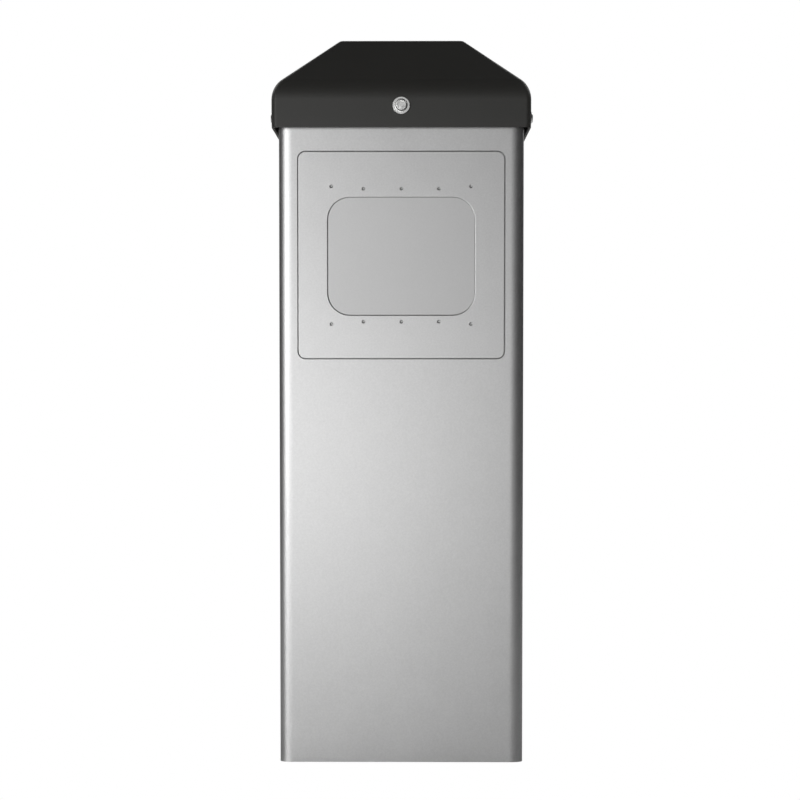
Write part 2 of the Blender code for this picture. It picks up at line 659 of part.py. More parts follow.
boom_holder = piece("boom_holder", SATIN,
                    block((CARRIER_LEFT, CARRIER_Y, SHAFT_Z - carrier_half),
                          (CARRIER_RIGHT, carrier_end, SHAFT_Z + carrier_half)),
                    cut=[slot] + [rod_y(x, z, 0.0034, carrier_end - 0.014, carrier_end + 0.01, 12)
                                  for x, z in bolt_spots])
clamp_y = carrier_end + GAP
boom_clamp = piece("boom_clamp", SATIN,
                   block((CARRIER_LEFT + 0.008, clamp_y, SHAFT_Z - carrier_half),
                         (CARRIER_RIGHT - 0.008, clamp_y + 0.004, SHAFT_Z + carrier_half), 0.006),
                   cut=[rod_y(x, z, 0.0034, carrier_end - 0.01, carrier_end + 0.01, 12)
                        for x, z in bolt_spots])
clamp_bolts = []
for number, (x, z) in enumerate(bolt_spots, 1):
    head = rod_y(x, z, 0.0048, clamp_y + 0.004 + GAP, clamp_y + 0.0085, 20)
    shank = rod_y(x, z, 0.003, clamp_y - 0.012, clamp_y + 0.006, 12)
    clamp_bolts.append(piece("clamp_bolt_%d" % number, STEEL, head, add=(shank,)))
pivot("boom_axis", (0, 0, SHAFT_Z), main_shaft, cam_disc, spring_lever, drive_lever,
      boom_flange, boom_holder, boom_clamp, *clamp_bolts)

# Controller and power supply

wall_step = Vector((CASE_WALL, CASE_WALL, CASE_WALL))
cavity_high = CASE_HIGH - wall_step
cavity_high.y = CASE_HIGH.y + 0.01
piece("controller_box", PLASTIC, block(CASE_LOW, CASE_HIGH, 0.006),
      cut=[block(CASE_LOW + wall_step, cavity_high, 0.004)])
cover_y = CASE_HIGH.y + GAP
cover_top = cover_y + 0.004
button_rows = (("button_open", GREEN, 0.180), ("button_stop", RED, 0.150),
               ("button_close", PLASTIC, 0.120))
cover_cuts = [rod_y(BUTTON_X, z, BUTTON_R + BORE_GAP, cover_y - 0.01, cover_top + 0.01, 24)
              for _, _, z in button_rows]
cover_cuts.append(rod_y(KNOB_X, KNOB_Z, 0.0043, cover_y - 0.01, cover_top + 0.01, 16))
lid = piece("controller_cover", PLASTIC,
            block((CASE_LOW.x, cover_y, CASE_LOW.z), (CASE_HIGH.x, cover_top, CASE_HIGH.z), 0.006),
            cut=cover_cuts)
lid_axis = pivot("lid_hinge_axis", (LID_HINGE_X, cover_y + 0.002, CASE_LOW.z), lid)
piece("controller_board", BOARD, block((-0.140, -0.090, 0.068), (-0.026, -0.088, 0.272)))
for name, finish, z in button_rows:
    cap = rod_y(BUTTON_X, z, 0.008, cover_top + BUTTON_TRAVEL + 0.0007, cover_top + 0.0085, 24)
    stem = rod_y(BUTTON_X, z, BUTTON_R, cover_y - 0.006, cover_top + 0.005, 20)
    button = piece(name, finish, cap, add=(stem,))
    press_axis = pivot(name + "_axis", (BUTTON_X, cover_top, z), button)
    press_axis.parent = lid_axis
    press_axis.location = press_axis.location - lid_axis.location
knob = piece("mains_knob", RED, rod_y(KNOB_X, KNOB_Z, 0.015, cover_top + GAP, cover_top + 0.006, 32),
             add=[block((KNOB_X - 0.004, cover_top + 0.004, KNOB_Z - 0.013),
                        (KNOB_X + 0.004, cover_top + 0.016, KNOB_Z + 0.013), 0.0015),
                  rod_y(KNOB_X, KNOB_Z, 0.004, cover_y - 0.006, cover_top + 0.004, 16)])
knob_axis = pivot("mains_knob_axis", (KNOB_X, cover_top, KNOB_Z), knob)
knob_axis.parent = lid_axis
knob_axis.location = knob_axis.location - lid_axis.location
piece("transformer", CAST, block((0.022, -0.080, BASE_T + GAP), (0.112, 0.000, 0.090), 0.004))
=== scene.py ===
"""A parking barrier cabinet: satin aluminium housing, black hood, service door and boom drive."""
import math

import bmesh
import bpy
from mathutils import Matrix, Vector


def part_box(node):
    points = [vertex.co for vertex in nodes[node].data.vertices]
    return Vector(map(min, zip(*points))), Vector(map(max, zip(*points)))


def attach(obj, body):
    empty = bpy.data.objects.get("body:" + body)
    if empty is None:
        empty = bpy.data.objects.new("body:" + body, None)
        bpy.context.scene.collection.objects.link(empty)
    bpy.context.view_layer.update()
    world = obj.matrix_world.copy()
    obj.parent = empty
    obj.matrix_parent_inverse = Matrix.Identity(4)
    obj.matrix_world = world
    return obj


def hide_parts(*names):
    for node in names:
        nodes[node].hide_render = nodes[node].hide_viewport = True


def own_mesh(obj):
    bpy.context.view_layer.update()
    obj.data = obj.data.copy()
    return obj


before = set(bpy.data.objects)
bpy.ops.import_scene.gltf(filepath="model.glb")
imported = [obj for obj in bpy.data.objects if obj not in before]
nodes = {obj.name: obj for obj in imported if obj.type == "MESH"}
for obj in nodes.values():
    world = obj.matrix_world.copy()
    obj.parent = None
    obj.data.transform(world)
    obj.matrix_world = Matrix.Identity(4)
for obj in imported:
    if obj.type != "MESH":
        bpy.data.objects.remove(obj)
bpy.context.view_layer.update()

# ---------------------------------------------------------------------------
# Studio: a white backdrop and a pale floor round the free-standing cabinet. Upright soft
# panels stand in front, to the left and behind, and three hang over the floor round it.

CAMERA_AT = Vector((0.0151, -2.311, 0.5181))
CAMERA_TILT = math.radians(2.260)
CAMERA_PAN = math.radians(-0.434)
FOCAL_WIDTHS = 2.143
SENSOR = 36.0
SHIFT_UP = 0.038375


def add_object(name, data):
    item = bpy.data.objects.new(name, data)
    bpy.context.scene.collection.objects.link(item)
    return item


camera_data = bpy.data.cameras.new("camera")
camera_data.sensor_width = SENSOR
camera_data.lens = FOCAL_WIDTHS * SENSOR
camera_data.shift_y = SHIFT_UP
camera = add_object("camera", camera_data)
camera.location = CAMERA_AT
camera.rotation_euler = (math.pi / 2 - CAMERA_TILT, 0, -CAMERA_PAN)
bpy.context.scene.camera = camera
bpy.context.scene.view_settings.view_transform = "Standard"

LIGHT_REACH = 3.0
WASH_REACH = 1.9
AIM_BASE = 0.2
AIM_SHARE = 0.6


def soft_light(name, azimuth, height, width, tall, power, hangs=False):
    """A soft panel, upright and turned to the cabinet, or hung flat over the floor.

    Azimuth 0 is in front of the cabinet, 90 at its right.
    """
    data = bpy.data.lights.new(name, "AREA")
    data.shape = "RECTANGLE"
    data.size = width
    data.size_y = tall
    data.energy = power
    turn = math.radians(azimuth)
    reach = WASH_REACH if hangs else LIGHT_REACH
    lamp = add_object(name, data)
    lamp.location = (reach * math.sin(turn), -reach * math.cos(turn), height)
    if not hangs:
        aim = Vector((0, 0, AIM_BASE + AIM_SHARE * height)) - lamp.location
        lamp.rotation_euler = aim.to_track_quat("-Z", "Y").to_euler()


soft_light("left_low", -30, 0.50, 0.7, 1.0, 12.5)
soft_light("left_high", -30, 1.55, 0.7, 1.1, 9.0)
soft_light("front_left", -17, 1.20, 0.7, 1.5, 6.6)
soft_light("front_low", -7, 0.25, 0.7, 0.5, 4.9)
soft_light("front_right", 7, 0.90, 0.7, 1.5, 3.0)
soft_light("back_left", -140, 1.70, 1.8, 1.6, 5.0)
soft_light("back_right", 140, 1.70, 1.8, 1.6, 5.0)
for name, azimuth in (("wash_left", -118), ("wash_right", 118), ("wash_back", 180)):
    soft_light(name, azimuth, 2.0, 1.6, 1.6, 16.0, hangs=True)


def camera_switch(tree, shown, lit, out):
    """Lead one shader to the camera's own rays and another to all the rest."""
    ray = tree.nodes.new("ShaderNodeLightPath")
    switch = tree.nodes.new("ShaderNodeMixShader")
    tree.links.new(ray.outputs["Is Camera Ray"], switch.inputs["Fac"])
    tree.links.new(lit, switch.inputs[1])
    tree.links.new(shown, switch.inputs[2])
    tree.links.new(switch.outputs["Shader"], out.inputs["Surface"])


ROOM_GREY = 0.025
world = bpy.data.worlds.new("studio")
bpy.context.scene.world = world
world.use_nodes = True
room = world.node_tree.nodes
room.clear()
backdrop = room.new("ShaderNodeBackground")
backdrop.inputs["Color"].default_value = (1, 1, 1, 1)
ambient = room.new("ShaderNodeBackground")
ambient.inputs["Color"].default_value = (ROOM_GREY, ROOM_GREY, ROOM_GREY, 1)
camera_switch(world.node_tree, backdrop.outputs["Background"], ambient.outputs["Background"],
              room.new("ShaderNodeOutputWorld"))

FLOOR_HALF = 6.0
FLOOR_Z = -0.0004
FLOOR_TONE = 0.70
FLOOR_ROUGHNESS = 0.28
FLOOR_GLOW = 0.04
floor_mesh = bpy.data.meshes.new("floor")
floor_mesh.from_pydata([(x * FLOOR_HALF, y * FLOOR_HALF, FLOOR_Z)
                        for x, y in ((-1, -1), (1, -1), (1, 1), (-1, 1))], [], [(0, 1, 2, 3)])
floor = add_object("floor", floor_mesh)
floor_paint = bpy.data.materials.new("floor_paint")
floor_paint.use_nodes = True
paint_nodes = floor_paint.node_tree.nodes
matt = paint_nodes["Principled BSDF"]
matt.inputs["Base Color"].default_value = (FLOOR_TONE, FLOOR_TONE, FLOOR_TONE, 1)
matt.inputs["Roughness"].default_value = FLOOR_ROUGHNESS
matt.inputs["Emission Color"].default_value = (1, 1, 1, 1)
matt.inputs["Emission Strength"].default_value = FLOOR_GLOW
bright = paint_nodes.new("ShaderNodeEmission")
camera_switch(floor_paint.node_tree, bright.outputs["Emission"], matt.outputs["BSDF"],
              paint_nodes["Material Output"])
floor_mesh.materials.append(floor_paint)

# ---------------------------------------------------------------------------
# Housing: aluminium sheet 3 mm thick, folded to a U with soft front corners and two
# flanges at the back, then ground and anodised to a fine satin.


def grain_group():
    """Fine isotropic grain: a tone and a height, both near 0.5."""
    group = bpy.data.node_groups.new("fine_grain", "ShaderNodeTree")
    for side, names in (("INPUT", ("Grain Size", "Cloud Size", "Cloud Share")),
                        ("OUTPUT", ("Tone", "Height"))):
        for name in names:
            group.interface.new_socket(name, in_out=side, socket_type="NodeSocketFloat")
    add, link = group.nodes.new, group.links.new
    entry, leave = add("NodeGroupInput"), add("NodeGroupOutput")
    place = add("ShaderNodeTexCoord")
    results = []
    for size, detail in (("Grain Size", 3.0), ("Cloud Size", 2.0)):
        invert = add("ShaderNodeMath")
        invert.operation = "DIVIDE"
        invert.inputs[0].default_value = 1.0
        link(entry.outputs[size], invert.inputs[1])
        noise = add("ShaderNodeTexNoise")
        noise.inputs["Detail"].default_value = detail
        link(place.outputs["Object"], noise.inputs["Vector"])
        link(invert.outputs["Value"], noise.inputs["Scale"])
        results.append(noise.outputs["Fac"])
    blend = add("ShaderNodeMix")
    link(entry.outputs["Cloud Share"], blend.inputs[0])
    link(results[0], blend.inputs[2])
    link(results[1], blend.inputs[3])
    link(blend.outputs[0], leave.inputs["Tone"])
    link(results[0], leave.inputs["Height"])
    return group


FINE_GRAIN = grain_group()


def vary(finish, shader, source, low, high, socket):
    """Lead a tone from 0 to 1 into a shader socket, spread between two values or colours."""
    tree = finish.node_tree
    if isinstance(low, tuple):
        spread = tree.nodes.new("ShaderNodeMix")
        spread.data_type = "RGBA"
        spread.inputs[6].default_value = (*low, 1)
        spread.inputs[7].default_value = (*high, 1)
        tree.links.new(source, spread.inputs[0])
        tree.links.new(spread.outputs[2], shader.inputs[socket])
        return
    spread = tree.nodes.new("ShaderNodeMapRange")
    spread.inputs["To Min"].default_value = low
    spread.inputs["To Max"].default_value = high
    tree.links.new(source, spread.inputs["Value"])
    tree.links.new(spread.outputs["Result"], shader.inputs[socket])


def roughen(finish, shader, height, depth, strength):
    """Bump the surface by a height map, depth in metres."""
    tree = finish.node_tree
    bump = tree.nodes.new("ShaderNodeBump")
    bump.inputs["Strength"].default_value = strength
    bump.inputs["Distance"].default_value = depth
    tree.links.new(height, bump.inputs["Height"])
    tree.links.new(bump.outputs["Normal"], shader.inputs["Normal"])


def grained_finish(slot, metallic, tones, rough, grain, cloud, share, depth=0.0, strength=0.3):
    """A finish for a material slot, its colour and roughness following the fine grain."""
    finish = bpy.data.materials.new(slot + "_finish")
    finish["slot"] = slot
    finish.use_nodes = True
    shader = finish.node_tree.nodes["Principled BSDF"]
    shader.inputs["Metallic"].default_value = metallic
    noise = finish.node_tree.nodes.new("ShaderNodeGroup")
    noise.node_tree = FINE_GRAIN
    noise.inputs["Grain Size"].default_value = grain
    noise.inputs["Cloud Size"].default_value = cloud
    noise.inputs["Cloud Share"].default_value = share
    vary(finish, shader, noise.outputs["Tone"], *tones, "Base Color")
    vary(finish, shader, noise.outputs["Tone"], *rough, "Roughness")
    if depth:
        roughen(finish, shader, noise.outputs["Height"], depth, strength)
    return finish


SATIN = grained_finish("satin_aluminium", 1.0, ((0.50, 0.50, 0.50), (0.66, 0.66, 0.66)),
                       (0.34, 0.46), 0.0022, 0.030, 0.25, 0.00003, 0.25)


def mesh_of(solid, name="shape"):
    mesh = bpy.data.meshes.new(name)
    solid.to_mesh(mesh)
    solid.free()
    return mesh


def block(low, high, radius=0.0, along="Y", steps=8):
    """A box between two corners, its edges along one axis rounded by radius."""
    low, high = Vector(low), Vector(high)
    solid = bmesh.new()
    bmesh.ops.create_cube(solid, size=1.0)
    bmesh.ops.scale(solid, vec=high - low, verts=solid.verts)
    bmesh.ops.translate(solid, vec=(low + high) / 2, verts=solid.verts)
    if radius:
        axis = "XYZ".index(along)
        edges = [e for e in solid.edges if abs((e.verts[0].co - e.verts[1].co)[axis]) > 1e-6]
        bmesh.ops.bevel(solid, geom=edges, offset=radius, segments=steps, profile=0.5,
                        affect="EDGES", clamp_overlap=True)
    bmesh.ops.recalc_face_normals(solid, faces=solid.faces[:])
    return mesh_of(solid)


def rod(start, end, radius, sides=48, end_radius=None):
    """A cylinder, or a cone, from one point to another."""
    start, end = Vector(start), Vector(end)
    solid = bmesh.new()
    bmesh.ops.create_cone(solid, cap_ends=True, segments=sides, radius1=radius,
                          radius2=radius if end_radius is None else end_radius,
                          depth=(end - start).length)
    turn = Vector((0, 0, 1)).rotation_difference(end - start).to_matrix().to_4x4()
    bmesh.ops.transform(solid, matrix=Matrix.Translation((start + end) / 2) @ turn,
                        verts=solid.verts)
    return mesh_of(solid)


def rod_y(x, z, radius, y0, y1, sides=48):
    return rod((x, y0, z), (x, y1, z), radius, sides)


def loft(rings, cap_low=True, cap_high=True):
    """A skin over rings of equally many points, each ring counter-clockwise from its top."""
    solid = bmesh.new()
    rows = [[solid.verts.new(point) for point in ring] for ring in rings]
    count = len(rows[0])
    for lower, upper in zip(rows, rows[1:]):
        for i in range(count):
            j = (i + 1) % count
            solid.faces.new((lower[i], lower[j], upper[j], upper[i]))
    if cap_low:
        solid.faces.new(rows[0][::-1])
    if cap_high:
        solid.faces.new(rows[-1])
    if cap_low and cap_high:
        bmesh.ops.recalc_face_normals(solid, faces=solid.faces[:])
    return mesh_of(solid)


def settle(item):
    """Turn an object and its modifiers into a plain mesh."""
    view = bpy.context.evaluated_depsgraph_get()
    mesh = bpy.data.meshes.new_from_object(item.evaluated_get(view))
    old = item.data
    item.modifiers.clear()
    item.data = mesh
    bpy.data.meshes.remove(old)


def with_cuts(item, shapes, operation):
    """Boolean steps on a piece, and the tools to remove once it is settled."""
    tools = []
    for shape in shapes:
        tools.append(add_object("tool", shape))
        step = item.modifiers.new(operation, "BOOLEAN")
        step.operation = operation
        step.solver = "EXACT"
        step.object = tools[-1]
    return tools


def soften(item, width, steps):
    """Round the edges that turn by more than 40 degrees."""
    bevel = item.modifiers.new("edges", "BEVEL")
    bevel.width = width
    bevel.segments = steps
    bevel.limit_method = "ANGLE"
    bevel.angle_limit = math.radians(40)
    return bevel


def shaped(name, base, add=(), cut=(), edge=0.0, steps=2, wall=0.0, trim=()):
    """A first shape, shapes joined to it and cut from it, edges rounded, then last cuts."""
    item = add_object(name, base)
    if wall:
        sheet = item.modifiers.new("wall", "SOLIDIFY")
        sheet.thickness = wall
        sheet.offset = -1
        sheet.use_even_offset = True
    tools = with_cuts(item, add, "UNION") + with_cuts(item, cut, "DIFFERENCE")
    if edge:
        soften(item, edge, steps).miter_outer = "MITER_ARC"
    tools += with_cuts(item, trim, "DIFFERENCE")
    settle(item)
    for tool in tools:
        bpy.data.objects.remove(tool)
    return item


def finished(item, finish, *stands_for, body="cabinet", angle=40):
    """Smooth the piece, give it its finish, and put it on its body."""
    item.data.materials.clear()
    item.data.materials.append(finish)
    item.data.shade_smooth()
    item.data.set_sharp_from_angle(angle=math.radians(angle))
    weigh = item.modifiers.new("normals", "WEIGHTED_NORMAL")
    weigh.keep_sharp = True
    settle(item)
    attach(item, body)
    if stands_for:
        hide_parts(*stands_for)
    return item


shell_low, shell_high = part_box("housing_shell")
SHEET = 0.003
CORNER_REACH = 0.018
CORNER_DEPTH = 0.0085
CORNER_POWER = 2.2
REAR_CORNER = 0.008
FLANGE = 0.020
OPENING = 0.2655
OPENING_CORNER = 0.0095
CHAMFER = 0.0009
GAP = 0.0003  # play between neighbouring pieces
OVER = 0.01  # how far a cutter reaches past what it cuts


def housing_outline():
    """Plan line from the left rear flange round the front to the right one."""
    left, right = shell_low.x, shell_high.x
    front, back = shell_low.y, shell_high.y
    steps = 14
    rear = [(right - REAR_CORNER + REAR_CORNER * math.cos(a), back - REAR_CORNER
             + REAR_CORNER * math.sin(a)) for a in (math.pi / 2 * i / 8 for i in range(9))]
    half = [(right - FLANGE, back)] + rear[::-1]
    for i in range(steps + 1):
        angle = math.pi / 2 * i / steps
        half.append((right - CORNER_REACH + CORNER_REACH * math.cos(angle) ** (2 / CORNER_POWER),
                     front + CORNER_DEPTH - CORNER_DEPTH * math.sin(angle) ** (2 / CORNER_POWER)))
    mirrored = [(left + right - x, y) for x, y in half]
    return mirrored + half[::-1]


def housing_sheet():
    sheet = bmesh.new()
    line = housing_outline()
    lower = [sheet.verts.new((x, y, 0)) for x, y in line]
    upper = [sheet.verts.new((x, y, shell_high.z)) for x, y in line]
    for i in range(len(line) - 1):
        sheet.faces.new((lower[i], lower[i + 1], upper[i + 1], upper[i]))
    return mesh_of(sheet)


def rounded_ring(half_x, half_up, radius, steps=8):
    """A rounded rectangle round the middle, counter-clockwise, as (x, up) pairs."""
    points = []
    for corner in range(4):
        side_x = 1 if corner in (0, 3) else -1
        side_up = 1 if corner in (0, 1) else -1
        for i in range(steps + 1):
            angle = math.pi / 2 * (corner + i / steps)
            points.append((side_x * (half_x - radius) + radius * math.cos(angle),
                           side_up * (half_up - radius) + radius * math.sin(angle)))
    return points


def flared_cut(half_x, half_z, radius, centre_z, face, flare_w, flare_d, through):
    """A cutter that opens from its full depth to a flare at the front face."""
    levels = [(0, through), (0, flare_d)]
    levels += [(flare_w * share, flare_d * (1 - share) ** 1.4) for share in (0.35, 0.7, 1.0)]
    levels.append((flare_w + 0.0006, -0.003))
    rings = []
    for out, deep in levels:
        ring = rounded_ring(half_x + out, half_z + out, radius + out)
        rings.append([(x, face + deep, centre_z + z) for x, z in ring])
    return loft(rings)


plate_low, plate_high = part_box("front_cover_plate")
PLATE_MID = (plate_low.z + plate_high.z) / 2
screw_low, screw_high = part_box("hood_screw_front")
SCREW_Z = (screw_low.z + screw_high.z) / 2
SLOT_HALF = 0.0045
CUT_THROUGH = 0.012
opening_cut = flared_cut(OPENING / 2, OPENING / 2, OPENING_CORNER, PLATE_MID, shell_low.y,
                         CHAMFER, CHAMFER, CUT_THROUGH)
front_cut = shell_low.y + 2 * OVER
slot_cuts = [rod_y(0, SCREW_Z, SLOT_HALF, shell_low.y - OVER, front_cut, 24),
             block((-SLOT_HALF, shell_low.y - OVER, SCREW_Z), (SLOT_HALF, front_cut, 1)),
             rod((-1, 0, SCREW_Z), (1, 0, SCREW_Z), SLOT_HALF, 24),
             block((-1, -SLOT_HALF, SCREW_Z), (1, SLOT_HALF, 1))]
housing = shaped("housing", housing_sheet(), wall=SHEET, cut=[opening_cut] + slot_cuts)
finished(housing, SATIN, "housing_shell", angle=24)

# ---------------------------------------------------------------------------
# Front plate: aluminium of the same satin, set a millimetre back in its opening, with a
# large rounded window and ten small marks where studs are welded on behind.

PLATE_EDGE = 0.0007
PLATE_BACK = 0.0010
WINDOW_FLARE = 0.0016
WINDOW_SINK = 0.0008
field_low, field_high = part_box("inlay_panel")
FIELD_HALF_X = 0.0950
FIELD_HALF_Z = 0.0760
FIELD_CORNER = 0.029
FIELD_MID = 0.6552
DIMPLE_R = 0.0028
DIMPLE_DEPTH = 0.0008
DIMPLE_X = (-0.0899, -0.0486, 0.0002, 0.0484, 0.0896)
DIMPLE_EDGE_ROW = 0.0882
DIMPLE_ROW = 0.0852

plate_front = shell_low.y + PLATE_BACK
plate_half = OPENING / 2 - GAP
plate_cuts = [flared_cut(FIELD_HALF_X - 0.001, FIELD_HALF_Z - 0.001, FIELD_CORNER - 0.001,
                         FIELD_MID, plate_front, WINDOW_FLARE, WINDOW_SINK, CUT_THROUGH)]
for i, x in enumerate(DIMPLE_X):
    rise = DIMPLE_EDGE_ROW if i in (0, len(DIMPLE_X) - 1) else DIMPLE_ROW
    for z in (PLATE_MID + rise, PLATE_MID - rise):
        plate_cuts.append(rod((x, plate_front - 0.0002, z), (x, plate_front + DIMPLE_DEPTH, z),
                              DIMPLE_R, 32, DIMPLE_R * 0.3))
plate = shaped("front_plate",
               block((-plate_half, plate_front, PLATE_MID - plate_half),
                     (plate_half, shell_low.y + SHEET, PLATE_MID + plate_half), OPENING_CORNER),
               edge=PLATE_EDGE, steps=3, trim=plate_cuts)
finished(plate, SATIN, "front_cover_plate", angle=24)

# ---------------------------------------------------------------------------
# Inlay: a sheet painted matte grey, glued behind the window so that its raised field
# stands a little deeper than the plate round it.

FIELD_EASE = 0.0004
FIELD_PAINT = grained_finish("grey_field", 1.0, ((0.57, 0.57, 0.57), (0.66, 0.66, 0.66)),
                             (0.46, 0.56), 0.0016, 0.040, 0.3, 0.00003, 0.2)
inlay = shaped("inlay",
               block((-FIELD_HALF_X + GAP, field_low.y, FIELD_MID - FIELD_HALF_Z + GAP),
                     (FIELD_HALF_X - GAP, field_high.y - 0.0004,
                      FIELD_MID + FIELD_HALF_Z - GAP), FIELD_CORNER - GAP, steps=16),
               add=[block((field_low.x, field_high.y - 0.0015, field_low.z), field_high, 0.004)],
               edge=FIELD_EASE)
finished(inlay, FIELD_PAINT, "inlay_panel")

# Backing frame: a zinc-plated steel frame behind the plate, bolted to it through the
# studs whose marks show in front.


def merged_copy(node):
    """A CAD node's mesh with its doubles merged and its flat faces made whole."""
    solid = bmesh.new()
    solid.from_mesh(nodes[node].data)
    bmesh.ops.remove_doubles(solid, verts=solid.verts, dist=1e-6)
    bmesh.ops.dissolve_limit(solid, angle_limit=math.radians(1), verts=solid.verts,
                             edges=solid.edges)
    return mesh_of(solid)


def eased(name, node, finish, edge):
    """A CAD node's own shape with its edges rounded."""
    finished(shaped(name, merged_copy(node), edge=edge), finish, node)


def start_tree(name, inputs):
    """A geometry node tree with its inputs and a finish, and what is needed to fill it."""
    tree = bpy.data.node_groups.new(name, "GeometryNodeTree")
    socket = tree.interface.new_socket
    for label, kind in (*inputs, ("Finish", "Material")):
        socket(label, in_out="INPUT", socket_type="NodeSocket" + kind)
    socket("Result", in_out="OUTPUT", socket_type="NodeSocketGeometry")
    return tree, tree.nodes.new, tree.links.new, tree.nodes.new("NodeGroupInput").outputs


def end_tree(tree, entry, shape):
    """Realize a tree's instances, give them the finish and lead them out."""
    add, link = tree.nodes.new, tree.links.new
    real = add("GeometryNodeRealizeInstances")
    link(shape, real.inputs[0])
    paint = add("GeometryNodeSetMaterial")
    link(real.outputs[0], paint.inputs["Geometry"])
    link(entry["Finish"], paint.inputs["Material"])
    link(paint.outputs[0], add("NodeGroupOutput").inputs[0])
    return tree


def bolt_tree():
    """Hexagon bolts with washers, one on every point, all facing one way."""
    sizes = ("Washer Radius", "Washer Thickness", "Head Radius", "Head Height")
    tree, add, link, entry = start_tree("hex_bolts", [("Spots", "Geometry"), ("Facing", "Vector"),
                                                      *((size, "Float") for size in sizes)])
    parts = add("GeometryNodeJoinGeometry")
    for sides, radius, height in ((32, *sizes[:2]), (6, *sizes[2:])):
        solid = add("GeometryNodeMeshCylinder")
        solid.inputs["Vertices"].default_value = sides
        link(entry[radius], solid.inputs["Radius"])
        link(entry[height], solid.inputs["Depth"])
        half = add("ShaderNodeMath")
        half.operation = "MULTIPLY_ADD"
        half.inputs[1].default_value = 0.5
        half.inputs[2].default_value = 0.0
        link(entry[height], half.inputs[0])
        if height == "Head Height":
            link(entry["Washer Thickness"], half.inputs[2])
        rise = add("ShaderNodeCombineXYZ")
        link(half.outputs[0], rise.inputs["Z"])
        lift = add("GeometryNodeTransform")
        link(solid.outputs["Mesh"], lift.inputs["Geometry"])
        link(rise.outputs[0], lift.inputs["Translation"])
        link(lift.outputs[0], parts.inputs[0])
    turn = add("FunctionNodeAlignRotationToVector")
    turn.axis = "Z"
    link(entry["Facing"], turn.inputs["Vector"])
    spread = add("GeometryNodeInstanceOnPoints")
    link(entry["Spots"], spread.inputs["Points"])
    link(parts.outputs[0], spread.inputs["Instance"])
    link(turn.outputs[0], spread.inputs["Rotation"])
    return end_tree(tree, entry, spread.outputs[0])


HEX_BOLTS = bolt_tree()


def grown(name, mesh, tree, values):
    """Run a node tree on a mesh with named values and keep the result as a plain mesh."""
    item = add_object(name, mesh)
    grow = item.modifiers.new("grow", "NODES")
    grow.node_group = tree
    for socket in tree.interface.items_tree:
        if socket.in_out == "INPUT" and socket.name in values:
            grow[socket.identifier] = values[socket.name]
    settle(item)
    return item


def points_mesh(points, edges=()):
    mesh = bpy.data.meshes.new("points")
    mesh.from_pydata(points, edges, [])
    return mesh


ZINC = grained_finish("zinc_plated_steel", 1.0, ((0.38, 0.39, 0.41), (0.55, 0.55, 0.54)),
                      (0.30, 0.46), 0.0030, 0.012, 0.5)


def bolts(name, spots, size, facing=(0, 1, 0), body="cabinet", washer=True):
    """Zinc-plated hexagon bolts at the given spots, in proportion to their thread size."""
    values = {"Washer Radius": size * (1.1 if washer else 0.7), "Washer Thickness": size * 0.2,
              "Head Radius": size * 0.95, "Head Height": size * 0.65, "Facing": facing,
              "Finish": ZINC}
    item = grown(name, points_mesh(spots), HEX_BOLTS, values)
    soften(item, size * 0.07, 2)
    settle(item)
    return finished(item, ZINC, body=body)


def ring_spots(centre, radius, count, plane="XZ", start=0.0):
    """Points evenly round a circle in the XZ or XY plane."""
    spots = []
    for i in range(count):
        angle = start + 2 * math.pi * i / count
        across, up = radius * math.cos(angle), radius * math.sin(angle)
        step = Vector((across, 0, up)) if plane == "XZ" else Vector((across, up, 0))
        spots.append(Vector(centre) + step)
    return spots


eased("backing_frame", "plate_frame", ZINC, 0.0004)
frame_low, frame_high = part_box("plate_frame")
stud_spots = []
for x in DIMPLE_X[1:-1]:
    for z in (frame_low.z + 0.013, frame_high.z - 0.013):
        stud_spots.append((x, frame_high.y, z))
bolts("frame_nuts", stud_spots, 0.005)

# ---------------------------------------------------------------------------
# Hood: one moulded shell with an upright skirt, a round shoulder, four slopes and a flat
# top, coated matt black. Four lugs inside rest on the rims of the housing.

HOOD_SKIRT_TOP = 0.8545
HOOD_SHOULDER = 0.037
HOOD_SLOPE = math.radians(40.5)
HOOD_RIDGE = 0.0853
HOOD_RIDGE_R = 0.008
HOOD_TUCK = 0.0003
LUG_X = 0.15275
LUG_Y = 0.055
LUG_HALF_X = 0.00675
LUG_HALF_Y = 0.015
LUG_TOP = 0.874
HOOD_CORNER = 0.007
HOOD_WALL = 0.003
HOOD_SHARPEN = 0.55
hood_low, hood_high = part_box("hood")
HOOD_BLACK = grained_finish("black_hood", 0.0, ((0.030, 0.030, 0.027), (0.042, 0.041, 0.038)),
                            (0.42, 0.56), 0.0013, 0.050, 0.35, 0.00006, 0.30)


def hood_profile():
    """(inset, height) pairs up the hood from its lower rim to its flat top."""
    turn = math.pi / 2 - HOOD_SLOPE
    steps = 14
    points = [(HOOD_TUCK, hood_low.z), (HOOD_TUCK * 0.5, hood_low.z + 0.004),
              (HOOD_TUCK * 0.15, hood_low.z + 0.009), (0.0, hood_low.z + 0.015)]
    for step in range(steps + 1):
        angle = turn * step / steps
        points.append((HOOD_SHOULDER * (1 - math.cos(angle)),
                       HOOD_SKIRT_TOP + HOOD_SHOULDER * math.sin(angle)))
    inset, height = points[-1]
    top = height + (HOOD_RIDGE - inset) * math.tan(HOOD_SLOPE)
    reach = HOOD_RIDGE_R * math.tan(HOOD_SLOPE / 2)
    centre = (HOOD_RIDGE + reach, top - HOOD_RIDGE_R)
    for step in range(7):
        angle = math.pi / 2 + HOOD_SLOPE * (1 - step / 6)
        points.append((centre[0] + HOOD_RIDGE_R * math.cos(angle),
                       centre[1] + HOOD_RIDGE_R * math.sin(angle)))
    return points


